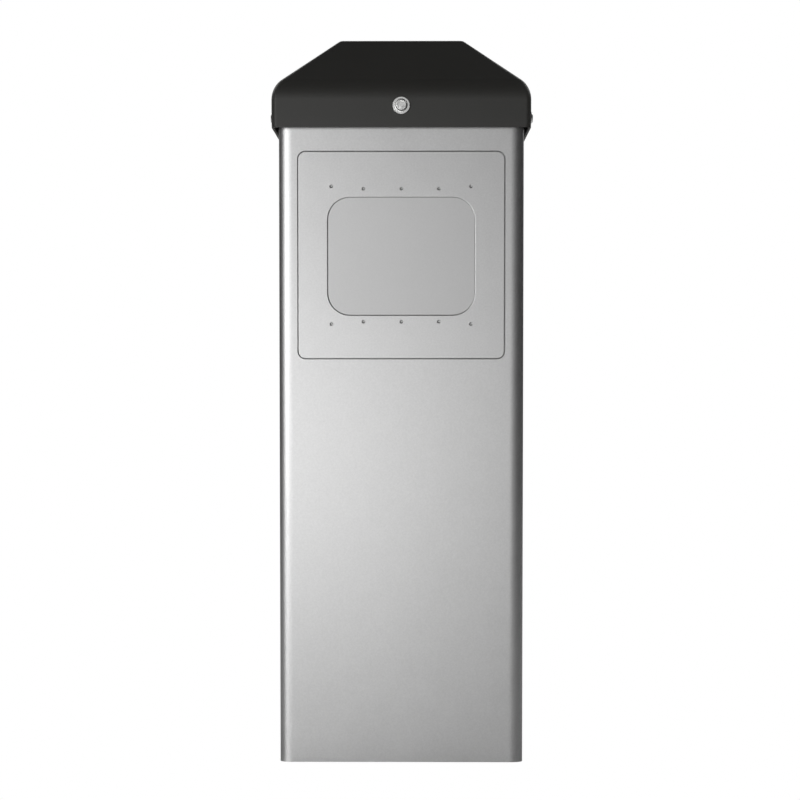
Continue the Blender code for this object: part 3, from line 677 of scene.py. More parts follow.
HOOD_HALF_X = (hood_high.x - hood_low.x) / 2
HOOD_HALF_Y = (hood_high.y - hood_low.y) / 2
hood_rings = []
for inset, height in hood_profile():
    corner = HOOD_CORNER * (1 - HOOD_SHARPEN * inset / HOOD_RIDGE)
    ring = rounded_ring(HOOD_HALF_X - inset, HOOD_HALF_Y - inset, corner, 7)
    hood_rings.append([(x, y, height) for x, y in ring])
hood_shell = loft(hood_rings, cap_low=False)
hood_lugs = [block((x - LUG_HALF_X, y - LUG_HALF_Y, shell_high.z + GAP),
                   (x + LUG_HALF_X, y + LUG_HALF_Y, LUG_TOP))
             for x in (-LUG_X, LUG_X) for y in (-LUG_Y, LUG_Y)]
hood_holes = [rod((0, -1, SCREW_Z), (0, 1, SCREW_Z), SLOT_HALF, 32),
              rod((-1, 0, SCREW_Z), (1, 0, SCREW_Z), SLOT_HALF, 32)]
hood = shaped("hood_cover", hood_shell, wall=HOOD_WALL, add=hood_lugs, cut=hood_holes)
finished(hood, HOOD_BLACK, "hood", body="hood_body", angle=30)

# ---------------------------------------------------------------------------
# Hood screws: a broad washer and a domed steel head with a hexagonal socket round a pin,
# and a square nut inside. One stands in the middle of each side.


def turned(place, direction, profile, sides=64, bore=0.0):
    """A lathe shape from (radius, distance) pairs along a direction."""
    place, direction = Vector(place), Vector(direction).normalized()
    across = direction.orthogonal().normalized()
    up = direction.cross(across)
    solid = bmesh.new()
    pairs = list(profile)
    if bore:
        pairs += [(bore, profile[-1][1]), (bore, profile[0][1])]
    rings = []
    for radius, along in pairs:
        centre = place + direction * along
        turn = [2 * math.pi * i / sides for i in range(sides)]
        rings.append([solid.verts.new(centre + radius * (math.cos(a) * across + math.sin(a) * up))
                      for a in turn])
    follow = list(zip(rings, rings[1:]))
    if bore:
        follow.append((rings[-1], rings[0]))
    else:
        solid.faces.new(rings[0][::-1])
        solid.faces.new(rings[-1])
    for lower, upper in follow:
        for i in range(sides):
            j = (i + 1) % sides
            solid.faces.new((lower[i], lower[j], upper[j], upper[i]))
    return mesh_of(solid)


def disc(place, direction, radius, height, ease=0.0005, sides=64, bore=0.0):
    """A round disc or bar with both rims eased."""
    soft = 0.29 * ease
    profile = [(radius - ease, 0), (radius - soft, soft), (radius, ease), (radius, height - ease),
               (radius - soft, height - soft), (radius - ease, height)]
    return turned(place, direction, profile, sides, bore)


STEEL = grained_finish("bright_steel", 1.0, ((0.76, 0.76, 0.75), (0.86, 0.86, 0.85)),
                       (0.24, 0.32), 0.0040, 0.020, 0.4)
WASHER_R = 0.011
WASHER_T = 0.002
HEAD_R = 0.0082
HEAD_FLAT = 0.72
HEAD_RIM = 0.0006
SOCKET_R = 0.0055
SOCKET_DEPTH = 0.0032
SOCKET_PIN_R = 0.0040
SHANK_R = 0.0039
NUT_HALF = 0.007
NUT_T = 0.006
OUTWARD = {"front": (0, -1, 0), "rear": (0, 1, 0), "left": (-1, 0, 0), "right": (1, 0, 0)}


def square_nut(out, near, far):
    """A square nut round the screw line, between two distances from the middle."""
    across = Vector((abs(out.y), abs(out.x), 0)) * NUT_HALF
    rise = Vector((0, 0, NUT_HALF))
    corners = (out * near - across - rise, out * far + across + rise)
    low = Vector([min(pair) for pair in zip(*corners)])
    high = Vector([max(pair) for pair in zip(*corners)])
    lift = Vector((0, 0, SCREW_Z))
    return block(low + lift, high + lift)


def hood_screw(side):
    out = Vector(OUTWARD[side])
    low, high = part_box("hood_screw_" + side)
    ends = sorted((abs(out.dot(low)), abs(out.dot(high))))
    half = (HOOD_HALF_X if out.x else HOOD_HALF_Y) + GAP
    lift = Vector((0, 0, SCREW_Z))
    crown = ends[1] - half - WASHER_T
    dome = [(HEAD_R * 0.97, -0.0004), (HEAD_R, HEAD_RIM)]
    steps = 9
    for i in range(1, steps + 1):
        angle = math.pi / 2 * i / steps
        dome.append((HEAD_R * (HEAD_FLAT + (1 - HEAD_FLAT) * math.cos(angle)),
                     HEAD_RIM + (crown - HEAD_RIM) * math.sin(angle)))
    top = out * (half + WASHER_T) + lift
    socket = turned(top, out, [(SOCKET_R, crown - SOCKET_DEPTH), (SOCKET_R, crown + 0.002)],
                    6, SOCKET_PIN_R)
    shank = [(SHANK_R - 0.0006, 0), (SHANK_R, 0.0006), (SHANK_R, half - ends[0] + 0.001)]
    screw = shaped("screw_" + side, turned(top, out, dome),
                   add=[disc(out * half + lift, out, WASHER_R, WASHER_T),
                        turned(out * ends[0] + lift, out, shank, 40),
                        square_nut(out, ends[0] + 0.002, ends[0] + 0.002 + NUT_T)],
                   cut=[socket], edge=0.0002, steps=1)
    finished(screw, STEEL, "hood_screw_" + side, body="hood_body")


for side in OUTWARD:
    hood_screw(side)

# ---------------------------------------------------------------------------
# Rear panel: aluminium sheet bolted to the housing's flanges above the service door, with
# a round hole for the boom shaft and an open slot for the hood's rear screw.

SHAFT_Z = 0.656
SHAFT_HOLE_R = 0.024
PANEL_EDGE = 0.0005
BACK_CUT = (0.09, 0.12)  # from and to, for cuts through the back
panel_low, panel_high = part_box("rear_panel")
panel_slots = [rod_y(0, SCREW_Z, SLOT_HALF, *BACK_CUT, 24),
               block((-SLOT_HALF, BACK_CUT[0], SCREW_Z), (SLOT_HALF, BACK_CUT[1], 1))]
panel = shaped("rear_sheet", block(panel_low, panel_high, 0.004),
               cut=[rod_y(0, SHAFT_Z, SHAFT_HOLE_R, 0.08, 0.13, 96)] + panel_slots,
               edge=PANEL_EDGE)
finished(panel, SATIN, "rear_panel")
panel_spots = [(x, panel_high.y, z) for x in (-0.1435, 0.1435)
               for z in (0.556, 0.640, 0.724, 0.808)]
bolts("rear_panel_screws", panel_spots, 0.005)

# Cross bars: two zinc-plated steel bars that tie the housing's flanges together behind the
# rear panel and under the door.

eased("middle_bar", "mid_crossbar", ZINC, 0.0008)
eased("sill_bar", "door_sill", ZINC, 0.0008)

# ---------------------------------------------------------------------------
# Service door: a flat aluminium sheet with two rows of pressed louvres, hung on two lift-off
# hinges at its right edge and lying on a rubber seal.


def row_tree():
    """One shape repeated in a row, each copy set off and turned from the one before."""
    tree, add, link, entry = start_tree("row", (("Count", "Int"), ("Start", "Vector"),
                                                ("Step", "Vector"), ("Turn", "Vector"),
                                                ("Shape", "Object")))
    line = add("GeometryNodeMeshLine")
    for label, socket in (("Count", "Count"), ("Start", "Start Location"), ("Step", "Offset")):
        link(entry[label], line.inputs[socket])
    pattern = add("GeometryNodeObjectInfo")
    link(entry["Shape"], pattern.inputs["Object"])
    turn = add("ShaderNodeVectorMath")
    turn.operation = "SCALE"
    link(entry["Turn"], turn.inputs[0])
    link(add("GeometryNodeInputIndex").outputs[0], turn.inputs["Scale"])
    spread = add("GeometryNodeInstanceOnPoints")
    link(line.outputs["Mesh"], spread.inputs["Points"])
    link(pattern.outputs["Geometry"], spread.inputs["Instance"])
    link(turn.outputs[0], spread.inputs["Rotation"])
    return end_tree(tree, entry, spread.outputs[0])


ROW = row_tree()


def row_of(name, shape, count, start, step, finish, turn=(0, 0, 0)):
    """A shape repeated count times, as one plain mesh object."""
    pattern = add_object("pattern", shape)
    values = {"Count": count, "Start": start, "Step": step, "Turn": turn, "Shape": pattern,
              "Finish": finish}
    item = grown(name, bpy.data.meshes.new("row"), ROW, values)
    bpy.data.objects.remove(pattern)
    return item


DOOR_LEFT = -0.149
DOOR_RIGHT = 0.1465
HINGE_X = 0.1535
HINGE_Y = 0.108
KNUCKLE_R = 0.0055
HINGE_PIN_R = 0.003
KNUCKLES = (0.100, 0.430)
KNUCKLE_H = 0.022
LEAF_H = 0.018
LOCK_X = -0.122
LOCK_Z = 0.275
LOCK_R = 0.011
CAM_Y = 0.0945
LOUVRE_W = 0.090
LOUVRE_H = 0.0070
LOUVRE_D = 0.0030
LOUVRE_PITCH = 0.013
LOUVRES = 6
LOUVRE_ROWS = (0.060, 0.400)
door_low, door_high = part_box("service_door")
DOOR_Y = 0.1046
DOOR_FACE = DOOR_Y + 0.003


def louvre():
    """A pressed hood closed at its ends, open downwards, standing on the door's face."""
    steps = 8
    arc = []
    for i in range(steps + 1):
        angle = math.pi / 2 * i / steps
        arc.append((LOUVRE_D * math.sin(angle), LOUVRE_H * math.cos(angle)))
    solid = bmesh.new()
    rings = []
    for share in (-1, -0.94, 0.94, 1):
        rise = 0.15 if abs(share) == 1 else 1.0
        outer = [(out * rise, up) for out, up in arc]
        ring = outer + [(LOUVRE_D * rise, -0.0006), (-0.0012, -0.0006), (-0.0012, LOUVRE_H)]
        rings.append([solid.verts.new((share * LOUVRE_W / 2, out, up)) for out, up in ring])
    count = len(rings[0])
    for left, right in zip(rings, rings[1:]):
        for i in range(count):
            j = (i + 1) % count
            solid.faces.new((left[i], right[i], right[j], left[j]))
    solid.faces.new(rings[0])
    solid.faces.new(rings[-1][::-1])
    bmesh.ops.recalc_face_normals(solid, faces=solid.faces[:])
    return mesh_of(solid)


knuckle_blocks = []
for z in KNUCKLES:
    knuckle_blocks.append(rod((HINGE_X, HINGE_Y, z), (HINGE_X, HINGE_Y, z + KNUCKLE_H),
                              KNUCKLE_R, 40))
    knuckle_blocks.append(block((0.140, DOOR_Y + GAP, z + 0.0004),
                                (HINGE_X, DOOR_FACE - GAP, z + KNUCKLE_H - 0.0004)))
door_cuts = [rod_y(LOCK_X, LOCK_Z, LOCK_R + GAP, *BACK_CUT, 48)]
for z in KNUCKLES:
    door_cuts.append(rod((HINGE_X, HINGE_Y, z - OVER), (HINGE_X, HINGE_Y, z + 0.03),
                         HINGE_PIN_R + GAP, 32))
for base in LOUVRE_ROWS:
    slot = block((-LOUVRE_W / 2 + 0.004, BACK_CUT[0], base - 0.0008),
                 (LOUVRE_W / 2 - 0.004, BACK_CUT[1], base + 0.0020))
    slots = row_of("slots", slot, LOUVRES, (0, 0, 0), (0, 0, LOUVRE_PITCH), SATIN)
    door_cuts.append(slots.data)
    bpy.data.objects.remove(slots)
door = shaped("door_sheet", block((DOOR_LEFT, DOOR_Y, door_low.z),
                                  (DOOR_RIGHT, DOOR_FACE, door_high.z), 0.004),
              add=knuckle_blocks, cut=door_cuts, edge=0.0004)
finished(door, SATIN, "service_door", body="door")
for number, base in enumerate(LOUVRE_ROWS, 1):
    louvres = row_of("door_louvres_%d" % number, louvre(), LOUVRES, (0, DOOR_FACE, base),
                     (0, 0, LOUVRE_PITCH), SATIN)
    finished(louvres, SATIN, body="door")

RUBBER = grained_finish("black_rubber", 0.0, ((0.012, 0.012, 0.012), (0.022, 0.022, 0.021)),
                        (0.62, 0.80), 0.0010, 0.020, 0.4, 0.00005, 0.3)
eased("door_gasket", "door_seal", RUBBER, 0.0004)

# Hinges: steel leaves fixed to the right flange, each with a pin that stands up through a
# knuckle of the door.

for name, z in zip(("hinge_lower", "hinge_upper"), KNUCKLES):
    barrel = rod((HINGE_X, HINGE_Y, z - LEAF_H), (HINGE_X, HINGE_Y, z - GAP), KNUCKLE_R, 40)
    wing = block((0.1505, shell_high.y + GAP, z - LEAF_H + 0.0004), (0.157, 0.106, z - 0.0007))
    pin = rod((HINGE_X, HINGE_Y, z - 0.005), (HINGE_X, HINGE_Y, z + 0.024), HINGE_PIN_R, 32)
    leaf = shaped(name + "_leaf", barrel, add=[wing, pin], edge=0.0005)
    finished(leaf, STEEL, name)

# Lock: a quarter-turn cam lock of zinc die casting with a triangular key hole. Its cam
# reaches behind the left flange.

lock_cut = rod_y(LOCK_X, LOCK_Z, 0.005, DOOR_FACE + 0.0004, 0.13, 3)
lock_rim = rod_y(LOCK_X, LOCK_Z, 0.014, DOOR_FACE + GAP, DOOR_FACE + 0.0035, 64)
lock_barrel = rod_y(LOCK_X, LOCK_Z, LOCK_R, CAM_Y, DOOR_FACE + 0.002, 48)
lock_cam = block((LOCK_X - 0.007, CAM_Y, LOCK_Z - 0.008),
                 (LOCK_X + 0.007, 0.098, LOCK_Z + 0.025), 0.003)
lock = shaped("cam_lock", lock_rim, add=[lock_barrel, lock_cam], edge=0.0006, trim=[lock_cut])
finished(lock, STEEL, "door_lock", body="lock")

# ---------------------------------------------------------------------------
# Base: a zinc-plated steel plate with a cable hole, held to the ground by four anchor bolts
# with washers and nuts.

eased("floor_plate", "base_plate", ZINC, 0.0008)
PLATE_TOP = 0.0083
ANCHOR_NUT_TOP = 0.022
for number in range(1, 5):
    low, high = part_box("anchor_bolt_%d" % number)
    x, y = (low.x + high.x) / 2, (low.y + high.y) / 2
    washer = rod((x, y, PLATE_TOP), (x, y, PLATE_TOP + 0.0027), 0.013, 40)
    nut = rod((x, y, PLATE_TOP + 0.002), (x, y, ANCHOR_NUT_TOP), 0.0105, 6)
    thread = rod((x, y, low.z), (x, y, high.z), 0.006, 32)
    anchor = shaped("anchor_%d" % number, washer, add=[nut, thread], edge=0.0006)
    finished(anchor, ZINC, "anchor_bolt_%d" % number)

# ---------------------------------------------------------------------------
# Drive frame: a folded zinc-plated plate and shelf that carry the gearbox, with a second
# plate behind for the rear shaft bearing. Hexagon bolts hold both.

FRAME_FACE = -0.082
eased("frame_plate", "drive_frame", ZINC, 0.0008)
eased("rear_plate", "rear_bearing_plate", ZINC, 0.0006)
frame_spots = [(s * 0.107, FRAME_FACE, z) for s in (-1, 1) for z in (0.340, 0.530, 0.745)]
bolts("frame_bolts", frame_spots, 0.008)
shelf_spots = [(x, y, 0.306) for x in (-0.140, 0.140) for y in (-0.060, 0.045)]
bolts("shelf_bolts", shelf_spots, 0.008, (0, 0, 1))
rear_spots = [(s * 0.135, 0.086, z) for s in (-1, 1) for z in (0.590, 0.730)]
bolts("rear_plate_bolts", rear_spots, 0.006)

# Bearings: two cast flange housings round the boom shaft, each with four bolts and a grease
# nipple.

CAST = grained_finish("cast_grey", 0.0, ((0.105, 0.112, 0.120), (0.135, 0.142, 0.150)),
                      (0.42, 0.58), 0.0022, 0.030, 0.4, 0.00012, 0.35)
SHAFT_R = 0.015
SHAFT_BORE = SHAFT_R + GAP
for name, facing in (("bearing_front", 1), ("bearing_rear", -1)):
    low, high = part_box(name)
    foot = Vector((0, low.y if facing > 0 else high.y, SHAFT_Z))
    length = high.y - low.y
    flange = [(0.0350, 0), (0.036, 0.001), (0.036, 0.0045), (0.0352, 0.0053), (0.0262, 0.0060),
              (0.0245, 0.0072), (0.0238, length - 0.001), (0.0228, length)]
    housing_ring = add_object(name + "_ring", turned(foot, (0, facing, 0), flange, 96,
                                                     SHAFT_BORE))
    finished(housing_ring, CAST, name, angle=30)
    spots = ring_spots(foot + Vector((0, facing * 0.0053, 0)), 0.0305, 4, start=math.pi / 4)
    bolts(name + "_bolts", spots, 0.0042, (0, facing, 0))

# ---------------------------------------------------------------------------
# Gearbox: a ribbed cast housing on the shelf, closed by a bolted cover behind, with a filler
# plug on top and a level glass at its side.

CRANK_Z = 0.396
OUTPUT_HOLE_R = 0.0125
RIBS = 6
RIB_FIRST = 0.018
RIB_PITCH = 0.022
LID_INSET = 0.009
gear_low, gear_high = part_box("gearbox_housing")
rib = block((gear_low.x + 0.012, gear_low.y - 0.0025, 0.0),
            (gear_high.x - 0.012, gear_low.y + 0.004, 0.0035))
gearbox = shaped("gearbox", block(gear_low, gear_high, 0.014), edge=0.003, steps=4,
                 trim=[rod_y(0, CRANK_Z, OUTPUT_HOLE_R, -0.03, 0.01, 64)])
finished(gearbox, CAST, "gearbox_housing", angle=30)
ribs = row_of("gearbox_ribs", rib, RIBS, (0, 0, gear_low.z + RIB_FIRST), (0, 0, RIB_PITCH), CAST)
finished(ribs, CAST)
lid_low, lid_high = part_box("gearbox_cover")
gear_lid = shaped("gearbox_lid", block(lid_low, lid_high, 0.012), edge=0.0012, steps=3,
                  trim=[rod_y(0, CRANK_Z, OUTPUT_HOLE_R, -0.03, 0.02, 64)])
finished(gear_lid, CAST, "gearbox_cover", angle=30)
lid_rows = (lid_low.z + LID_INSET, (lid_low.z + lid_high.z) / 2, lid_high.z - LID_INSET)
lid_spots = [(x, lid_high.y, z) for x in (lid_low.x + LID_INSET, lid_high.x - LID_INSET)
             for z in lid_rows]
bolts("gearbox_lid_bolts", lid_spots, 0.005)
bolts("filler_plug", [(-0.035, -0.034, gear_high.z)], 0.009, (0, 0, 1))
glass_profile = [(0.0078, 0), (0.0080, 0.0018), (0.0072, 0.0026), (0.0052, 0.0026),
                 (0.0048, 0.0014), (0.001, 0.0012)]
glass = add_object("oil_level_glass",
                   turned((gear_high.x, -0.052, 0.372), (1, 0, 0), glass_profile))
finished(glass, STEEL)

# Motor: a cast housing with upright cooling fins hanging under the gearbox, a plastic fan
# cowl with radial slots below, and a terminal box behind.

MOTOR_AT = Vector((0.055, -0.034, 0))
MOTOR_R = 0.050
MOTOR_CORE_R = 0.044
FINS = 36
FIN_HALF = 0.0009
FIN_TOP = 0.287
COWL_SLOTS = 16
motor_low, motor_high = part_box("motor_housing")
core = turned(MOTOR_AT, (0, 0, 1),
              [(MOTOR_CORE_R, motor_low.z + 0.001), (MOTOR_CORE_R, 0.284), (0.0485, 0.286),
               (0.0490, 0.288), (0.0490, 0.2925), (0.0450, 0.2935), (0.0450, 0.2992),
               (0.0250, 0.2996), (0.0250, motor_high.z - 0.0006), (0.0244, motor_high.z)], 96)
motor = add_object("motor_body", core)
finished(motor, CAST, "motor_housing", angle=30)
fin = block((MOTOR_CORE_R - 0.002, -FIN_HALF, motor_low.z + 0.001),
            (MOTOR_R - 0.0002, FIN_HALF, FIN_TOP))
fins = row_of("motor_fins", fin, FINS, MOTOR_AT, (0, 0, 0), CAST, (0, 0, 2 * math.pi / FINS))
finished(fins, CAST)

PLASTIC = grained_finish("grey_plastic", 0.0, ((0.30, 0.31, 0.32), (0.345, 0.355, 0.365)),
                         (0.42, 0.54), 0.0012, 0.030, 0.4, 0.00004, 0.3)
cap_low, cap_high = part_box("motor_end_cap")
cowl_slot = block((0.012, -0.0016, cap_low.z - 0.002), (0.030, 0.0016, cap_low.z + 0.004))
cowl_slots = row_of("slots", cowl_slot, COWL_SLOTS, MOTOR_AT, (0, 0, 0), PLASTIC,
                    (0, 0, 2 * math.pi / COWL_SLOTS))
cowl_profile = [(0.036, cap_low.z), (0.0392, cap_low.z + 0.0008), (0.0440, cap_low.z + 0.0068),
                (0.0478, cap_high.z - 0.008), (0.0488, cap_high.z - 0.004),
                (0.0490, cap_high.z)]
cowl = shaped("fan_cowl", turned(MOTOR_AT, (0, 0, 1), cowl_profile, 96), cut=[cowl_slots.data])
bpy.data.objects.remove(cowl_slots)
finished(cowl, PLASTIC, "motor_end_cap", angle=30)

terminal_box = shaped("terminal_box",
                      block((0.034, 0.008, 0.196), (0.076, 0.034, 0.256), 0.003, "Z"),
                      add=[block((0.032, 0.030, 0.194), (0.078, 0.0375, 0.258), 0.003, "Y")],
                      edge=0.0008)
finished(terminal_box, CAST)
terminal_spots = [(x, 0.0375, z) for x in (0.037, 0.073) for z in (0.199, 0.253)]
bolts("terminal_box_screws", terminal_spots, 0.0028, washer=False)

# Release lever: a red handle on a round hub that frees the gearbox by hand.

RED = grained_finish("red_plastic", 0.0, ((0.42, 0.020, 0.018), (0.50, 0.028, 0.024)),
                     (0.30, 0.40), 0.0015, 0.030, 0.4)
release_low, release_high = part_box("release_lever")
release_y = MOTOR_AT.y
RELEASE_Z = 0.400
RELEASE_TOP = 0.458
RELEASE_ARM_X = 0.0902
hub = rod((release_low.x, release_y, RELEASE_Z),
          (release_low.x + 0.010, release_y, RELEASE_Z), 0.012)
arm = block((RELEASE_ARM_X, release_y - 0.006, RELEASE_Z),
            (RELEASE_ARM_X + 0.0041, release_y + 0.006, RELEASE_TOP), 0.002, "X")
grip = rod((RELEASE_ARM_X, release_y, RELEASE_TOP),
           (release_high.x, release_y, RELEASE_TOP), 0.0075, 40)
handle = shaped("release_handle", hub, add=[arm, grip], edge=0.0012, steps=3)
finished(handle, RED, "release_lever", body="release")

# ---------------------------------------------------------------------------
# Boom shaft: turned and ground steel, carrying the cam disc, the spring lever and the drive
# lever on keys.

shaft_low, shaft_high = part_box("main_shaft")
shaft = add_object("boom_shaft", disc((0, shaft_low.y, SHAFT_Z), (0, 1, 0), SHAFT_R,
                                      shaft_high.y - shaft_low.y, 0.001, 96))
finished(shaft, STEEL, "main_shaft", body="boom", angle=30)

cam_low, cam_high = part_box("cam_disc")
cam = shaped("switch_cam", rod_y(0, SHAFT_Z, 0.027, cam_low.y, cam_high.y, 96),
             cut=[rod_y(0, SHAFT_Z, SHAFT_BORE, -0.08, -0.05, 96),
                  block((-0.030, -0.08, SHAFT_Z + 0.006), (-0.0235, -0.05, SHAFT_Z + 0.013))],
             edge=0.0006)
finished(cam, PLASTIC, "cam_disc", body="boom", angle=30)

ARM = 0.060
ARM_ANGLE = math.radians(45)
ARM_HALF = 0.011
TIP_R = 0.013
LEVER_T = 0.012


def flat_bar(start, end, half, y0, y1):
    """A flat bar between two (x, z) points, standing between y0 and y1."""
    start, end = Vector((start[0], 0, start[1])), Vector((end[0], 0, end[1]))
    along = end - start
    solid = bmesh.new()
    bmesh.ops.create_cube(solid, size=1.0)
    bmesh.ops.scale(solid, vec=(along.length, y1 - y0, 2 * half), verts=solid.verts)
    turn = Matrix.Rotation(-math.atan2(along.z, along.x), 4, "Y")
    middle = (start + end) / 2 + Vector((0, (y0 + y1) / 2, 0))
    bmesh.ops.transform(solid, matrix=Matrix.Translation(middle) @ turn, verts=solid.verts)
    return mesh_of(solid)


def lever(name, node, body, finish, centre_z, hub_r, y0, pin_r, pin_end, bore, stub=()):
    """A hub with a bore or a stub shaft, an arm at the rest angle and a pin at its tip."""
    y1 = y0 + LEVER_T
    x, z = ARM * math.cos(ARM_ANGLE), centre_z + ARM * math.sin(ARM_ANGLE)
    cuts = [rod_y(0, centre_z, bore, y0 - OVER, y1 + OVER, 96)] if bore else []
    item = shaped(name, rod_y(0, centre_z, hub_r, y0, y1, 72),
                  add=[flat_bar((0, centre_z), (x, z), ARM_HALF, y0 + 0.0015, y1 - 0.0015),
                       rod_y(x, z, TIP_R, y0, y1, 56),
                       rod_y(x, z, pin_r, (y0 + y1) / 2, pin_end, 40), *stub],
                  cut=cuts, edge=0.0008)
    finished(item, finish, node, body=body)


lever("spring_arm", "spring_lever", "boom", CAST, SHAFT_Z, 0.026, -0.056, 0.005, -0.010,
      SHAFT_BORE)
lever("drive_arm", "drive_lever", "boom", CAST, SHAFT_Z, 0.026, 0.012, 0.006, 0.042, SHAFT_BORE)
lever("gear_crank", "crank", "crank_body", STEEL, CRANK_Z, 0.020, 0.012, 0.006, 0.042, 0,
      [rod_y(0, CRANK_Z, 0.012, -0.028, 0.018, 64)])

# Connecting rod: a flat steel rod with an eye at each end over the pins of the crank and of
# the drive lever.

PIN_X = ARM * math.cos(ARM_ANGLE)
CRANK_PIN_Z = CRANK_Z + ARM * math.sin(ARM_ANGLE)
LEVER_PIN_Z = SHAFT_Z + ARM * math.sin(ARM_ANGLE)
link_eyes = [rod_y(PIN_X, z, 0.014, 0.0265, 0.0375, 56) for z in (CRANK_PIN_Z, LEVER_PIN_Z)]
link_holes = [rod_y(PIN_X, z, 0.0065, 0.0, 0.06, 56) for z in (CRANK_PIN_Z, LEVER_PIN_Z)]
link = shaped("connecting_rod", flat_bar((PIN_X, CRANK_PIN_Z), (PIN_X, LEVER_PIN_Z), 0.008,
                                         0.0275, 0.0365),
              add=link_eyes, cut=link_holes, edge=0.0008)
finished(link, STEEL, "drive_rod", body="rod_body")

# ---------------------------------------------------------------------------
# Stops and switches: two waisted rubber stops that the spring lever meets at its ends, and
# two limit switches that the cam disc works.

for name in ("stop_buffer_closed", "stop_buffer_open"):
    low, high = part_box(name)
    foot = Vector(((low.x + high.x) / 2, low.y, (low.z + high.z) / 2))
    radius, length = (high.x - low.x) / 2, high.y - low.y
    profile = [(radius * 0.94, 0), (radius, 0.0008)]
    for i in range(1, 10):
        share = i / 10
        profile.append((radius * (1 - 0.10 * math.sin(math.pi * share)), length * share))
    profile += [(radius, length - 0.0012), (radius * 0.86, length)]
    stop = add_object(name + "_rubber", turned(foot, (0, 1, 0), profile, 56))
    finished(stop, RUBBER, name, angle=50)
for name in ("limit_switch_closed", "limit_switch_open"):
    eased(name + "_case", name, PLASTIC, 0.0006)
    low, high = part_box(name)
    spots = [(low.x + 0.005, -0.060, z) for z in (low.z + 0.005, high.z - 0.005)]
    bolts(name + "_screws", spots, 0.0026, washer=False)

# ---------------------------------------------------------------------------
# Balance spring: oil-tempered wire wound into a tension coil. A loop holds it to the spring
# lever's pin above and another to the stud of the anchor bracket below.


def wire_tree():
    """A round wire along a mesh line."""
    tree, add, link, entry = start_tree("wire", (("Path", "Geometry"), ("Wire Radius", "Float")))
    path = add("GeometryNodeMeshToCurve")
    link(entry["Path"], path.inputs["Mesh"])
    section = add("GeometryNodeCurvePrimitiveCircle")
    section.inputs["Resolution"].default_value = 12
    link(entry["Wire Radius"], section.inputs["Radius"])
    sweep = add("GeometryNodeCurveToMesh")
    sweep.inputs["Fill Caps"].default_value = True
    link(path.outputs["Curve"], sweep.inputs["Curve"])
    link(section.outputs["Curve"], sweep.inputs["Profile Curve"])
    return end_tree(tree, entry, sweep.outputs[0])


SPRING_AT = Vector((PIN_X, -0.026, 0))
SPRING_R = 0.0125
SPRING_WIRE = 0.0022
SPRING_TURNS = 28
COIL_LOW = 0.506
COIL_HIGH = 0.680
LOOP_R = 0.0076
SPRING_FOOT_Z = 0.4922
WIRE = wire_tree()


def spring_path():
    """The wire's centre line: a coil drawn in to the middle line at both ends."""
    around = 24
    steps = SPRING_TURNS * around
    points = [SPRING_AT + Vector((0, 0, SPRING_FOOT_Z))]
    for i in range(steps + 1):
        angle = 2 * math.pi * i / around
        reach = SPRING_R * min(1.0, 0.05 + i / around, 0.05 + (steps - i) / around)
        rise = COIL_LOW + (COIL_HIGH - COIL_LOW) * i / steps
        points.append(SPRING_AT + Vector((reach * math.cos(angle), reach * math.sin(angle), rise)))
    points.append(SPRING_AT + Vector((0, 0, LEVER_PIN_Z - LOOP_R)))
    return points_mesh(points, [(i, i + 1) for i in range(len(points) - 1)])


def wire_loop(centre):
    """A closed round line in the XZ plane."""
    sides = 32
    edges = [(i, (i + 1) % sides) for i in range(sides)]
    return points_mesh(ring_spots(centre, LOOP_R, sides), edges)


wire_values = {"Wire Radius": SPRING_WIRE, "Finish": STEEL}
spring = grown("spring_coil", spring_path(), WIRE, wire_values)
finished(spring, STEEL, "balance_spring", angle=60)
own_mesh(spring)
for name, body, z in (("spring_loop_upper", "boom", LEVER_PIN_Z),
                      ("spring_loop_lower", "cabinet", SPRING_FOOT_Z - LOOP_R)):
    loop = grown(name, wire_loop(SPRING_AT + Vector((0, 0, z))), WIRE, wire_values)
    finished(loop, STEEL, body=body, angle=60)
eased("anchor_bracket", "spring_anchor", ZINC, 0.0006)

# ---------------------------------------------------------------------------
# Boom seat: a lip seal in the rear panel, a steel flange on the shaft's end, and an
# aluminium channel with a clamp plate that the boom lies in.

seal_low, seal_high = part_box("shaft_seal")
seal_at = Vector((0, seal_low.y, SHAFT_Z))
seal_length = seal_high.y - seal_low.y
seal_profile = [(0.0228, 0), (0.0236, 0.0008), (0.0236, seal_length - 0.0012),
                (0.0226, seal_length), (0.0196, seal_length), (0.0180, seal_length - 0.0022),
                (0.0160, seal_length - 0.0006)]
seal = add_object("lip_seal", turned(seal_at, (0, 1, 0), seal_profile, 96, SHAFT_R + 0.0004))
finished(seal, RUBBER, "shaft_seal", angle=35)

flange_low, flange_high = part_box("boom_flange")
flange = add_object("shaft_flange", disc((0, flange_low.y, SHAFT_Z), (0, 1, 0), 0.058,
                                         flange_high.y - flange_low.y, 0.001, 128, SHAFT_BORE))
finished(flange, STEEL, "boom_flange", body="boom", angle=30)
holder_low, holder_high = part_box("boom_holder")
CHANNEL_HALF = 0.042
RAIL = 0.010
CHANNEL_BACK = 0.004
CLAMP_HOLE_R = 0.0034
bolt_rise = CHANNEL_HALF + RAIL / 2
bolt_spots = [(x, SHAFT_Z + rise) for x in (-0.110, 0.050) for rise in (-bolt_rise, bolt_rise)]
channel = block((holder_low.x - 0.02, holder_low.y + CHANNEL_BACK, SHAFT_Z - CHANNEL_HALF),
                (holder_high.x + 0.02, holder_high.y + 0.02, SHAFT_Z + CHANNEL_HALF))
holder_holes = [rod_y(x, z, CLAMP_HOLE_R, holder_high.y - 0.014, holder_high.y + OVER, 32)
                for x, z in bolt_spots]
holder = shaped("boom_channel", block(holder_low, holder_high), cut=[channel], edge=0.0008,
                steps=3, trim=holder_holes)
finished(holder, SATIN, "boom_holder", body="boom")
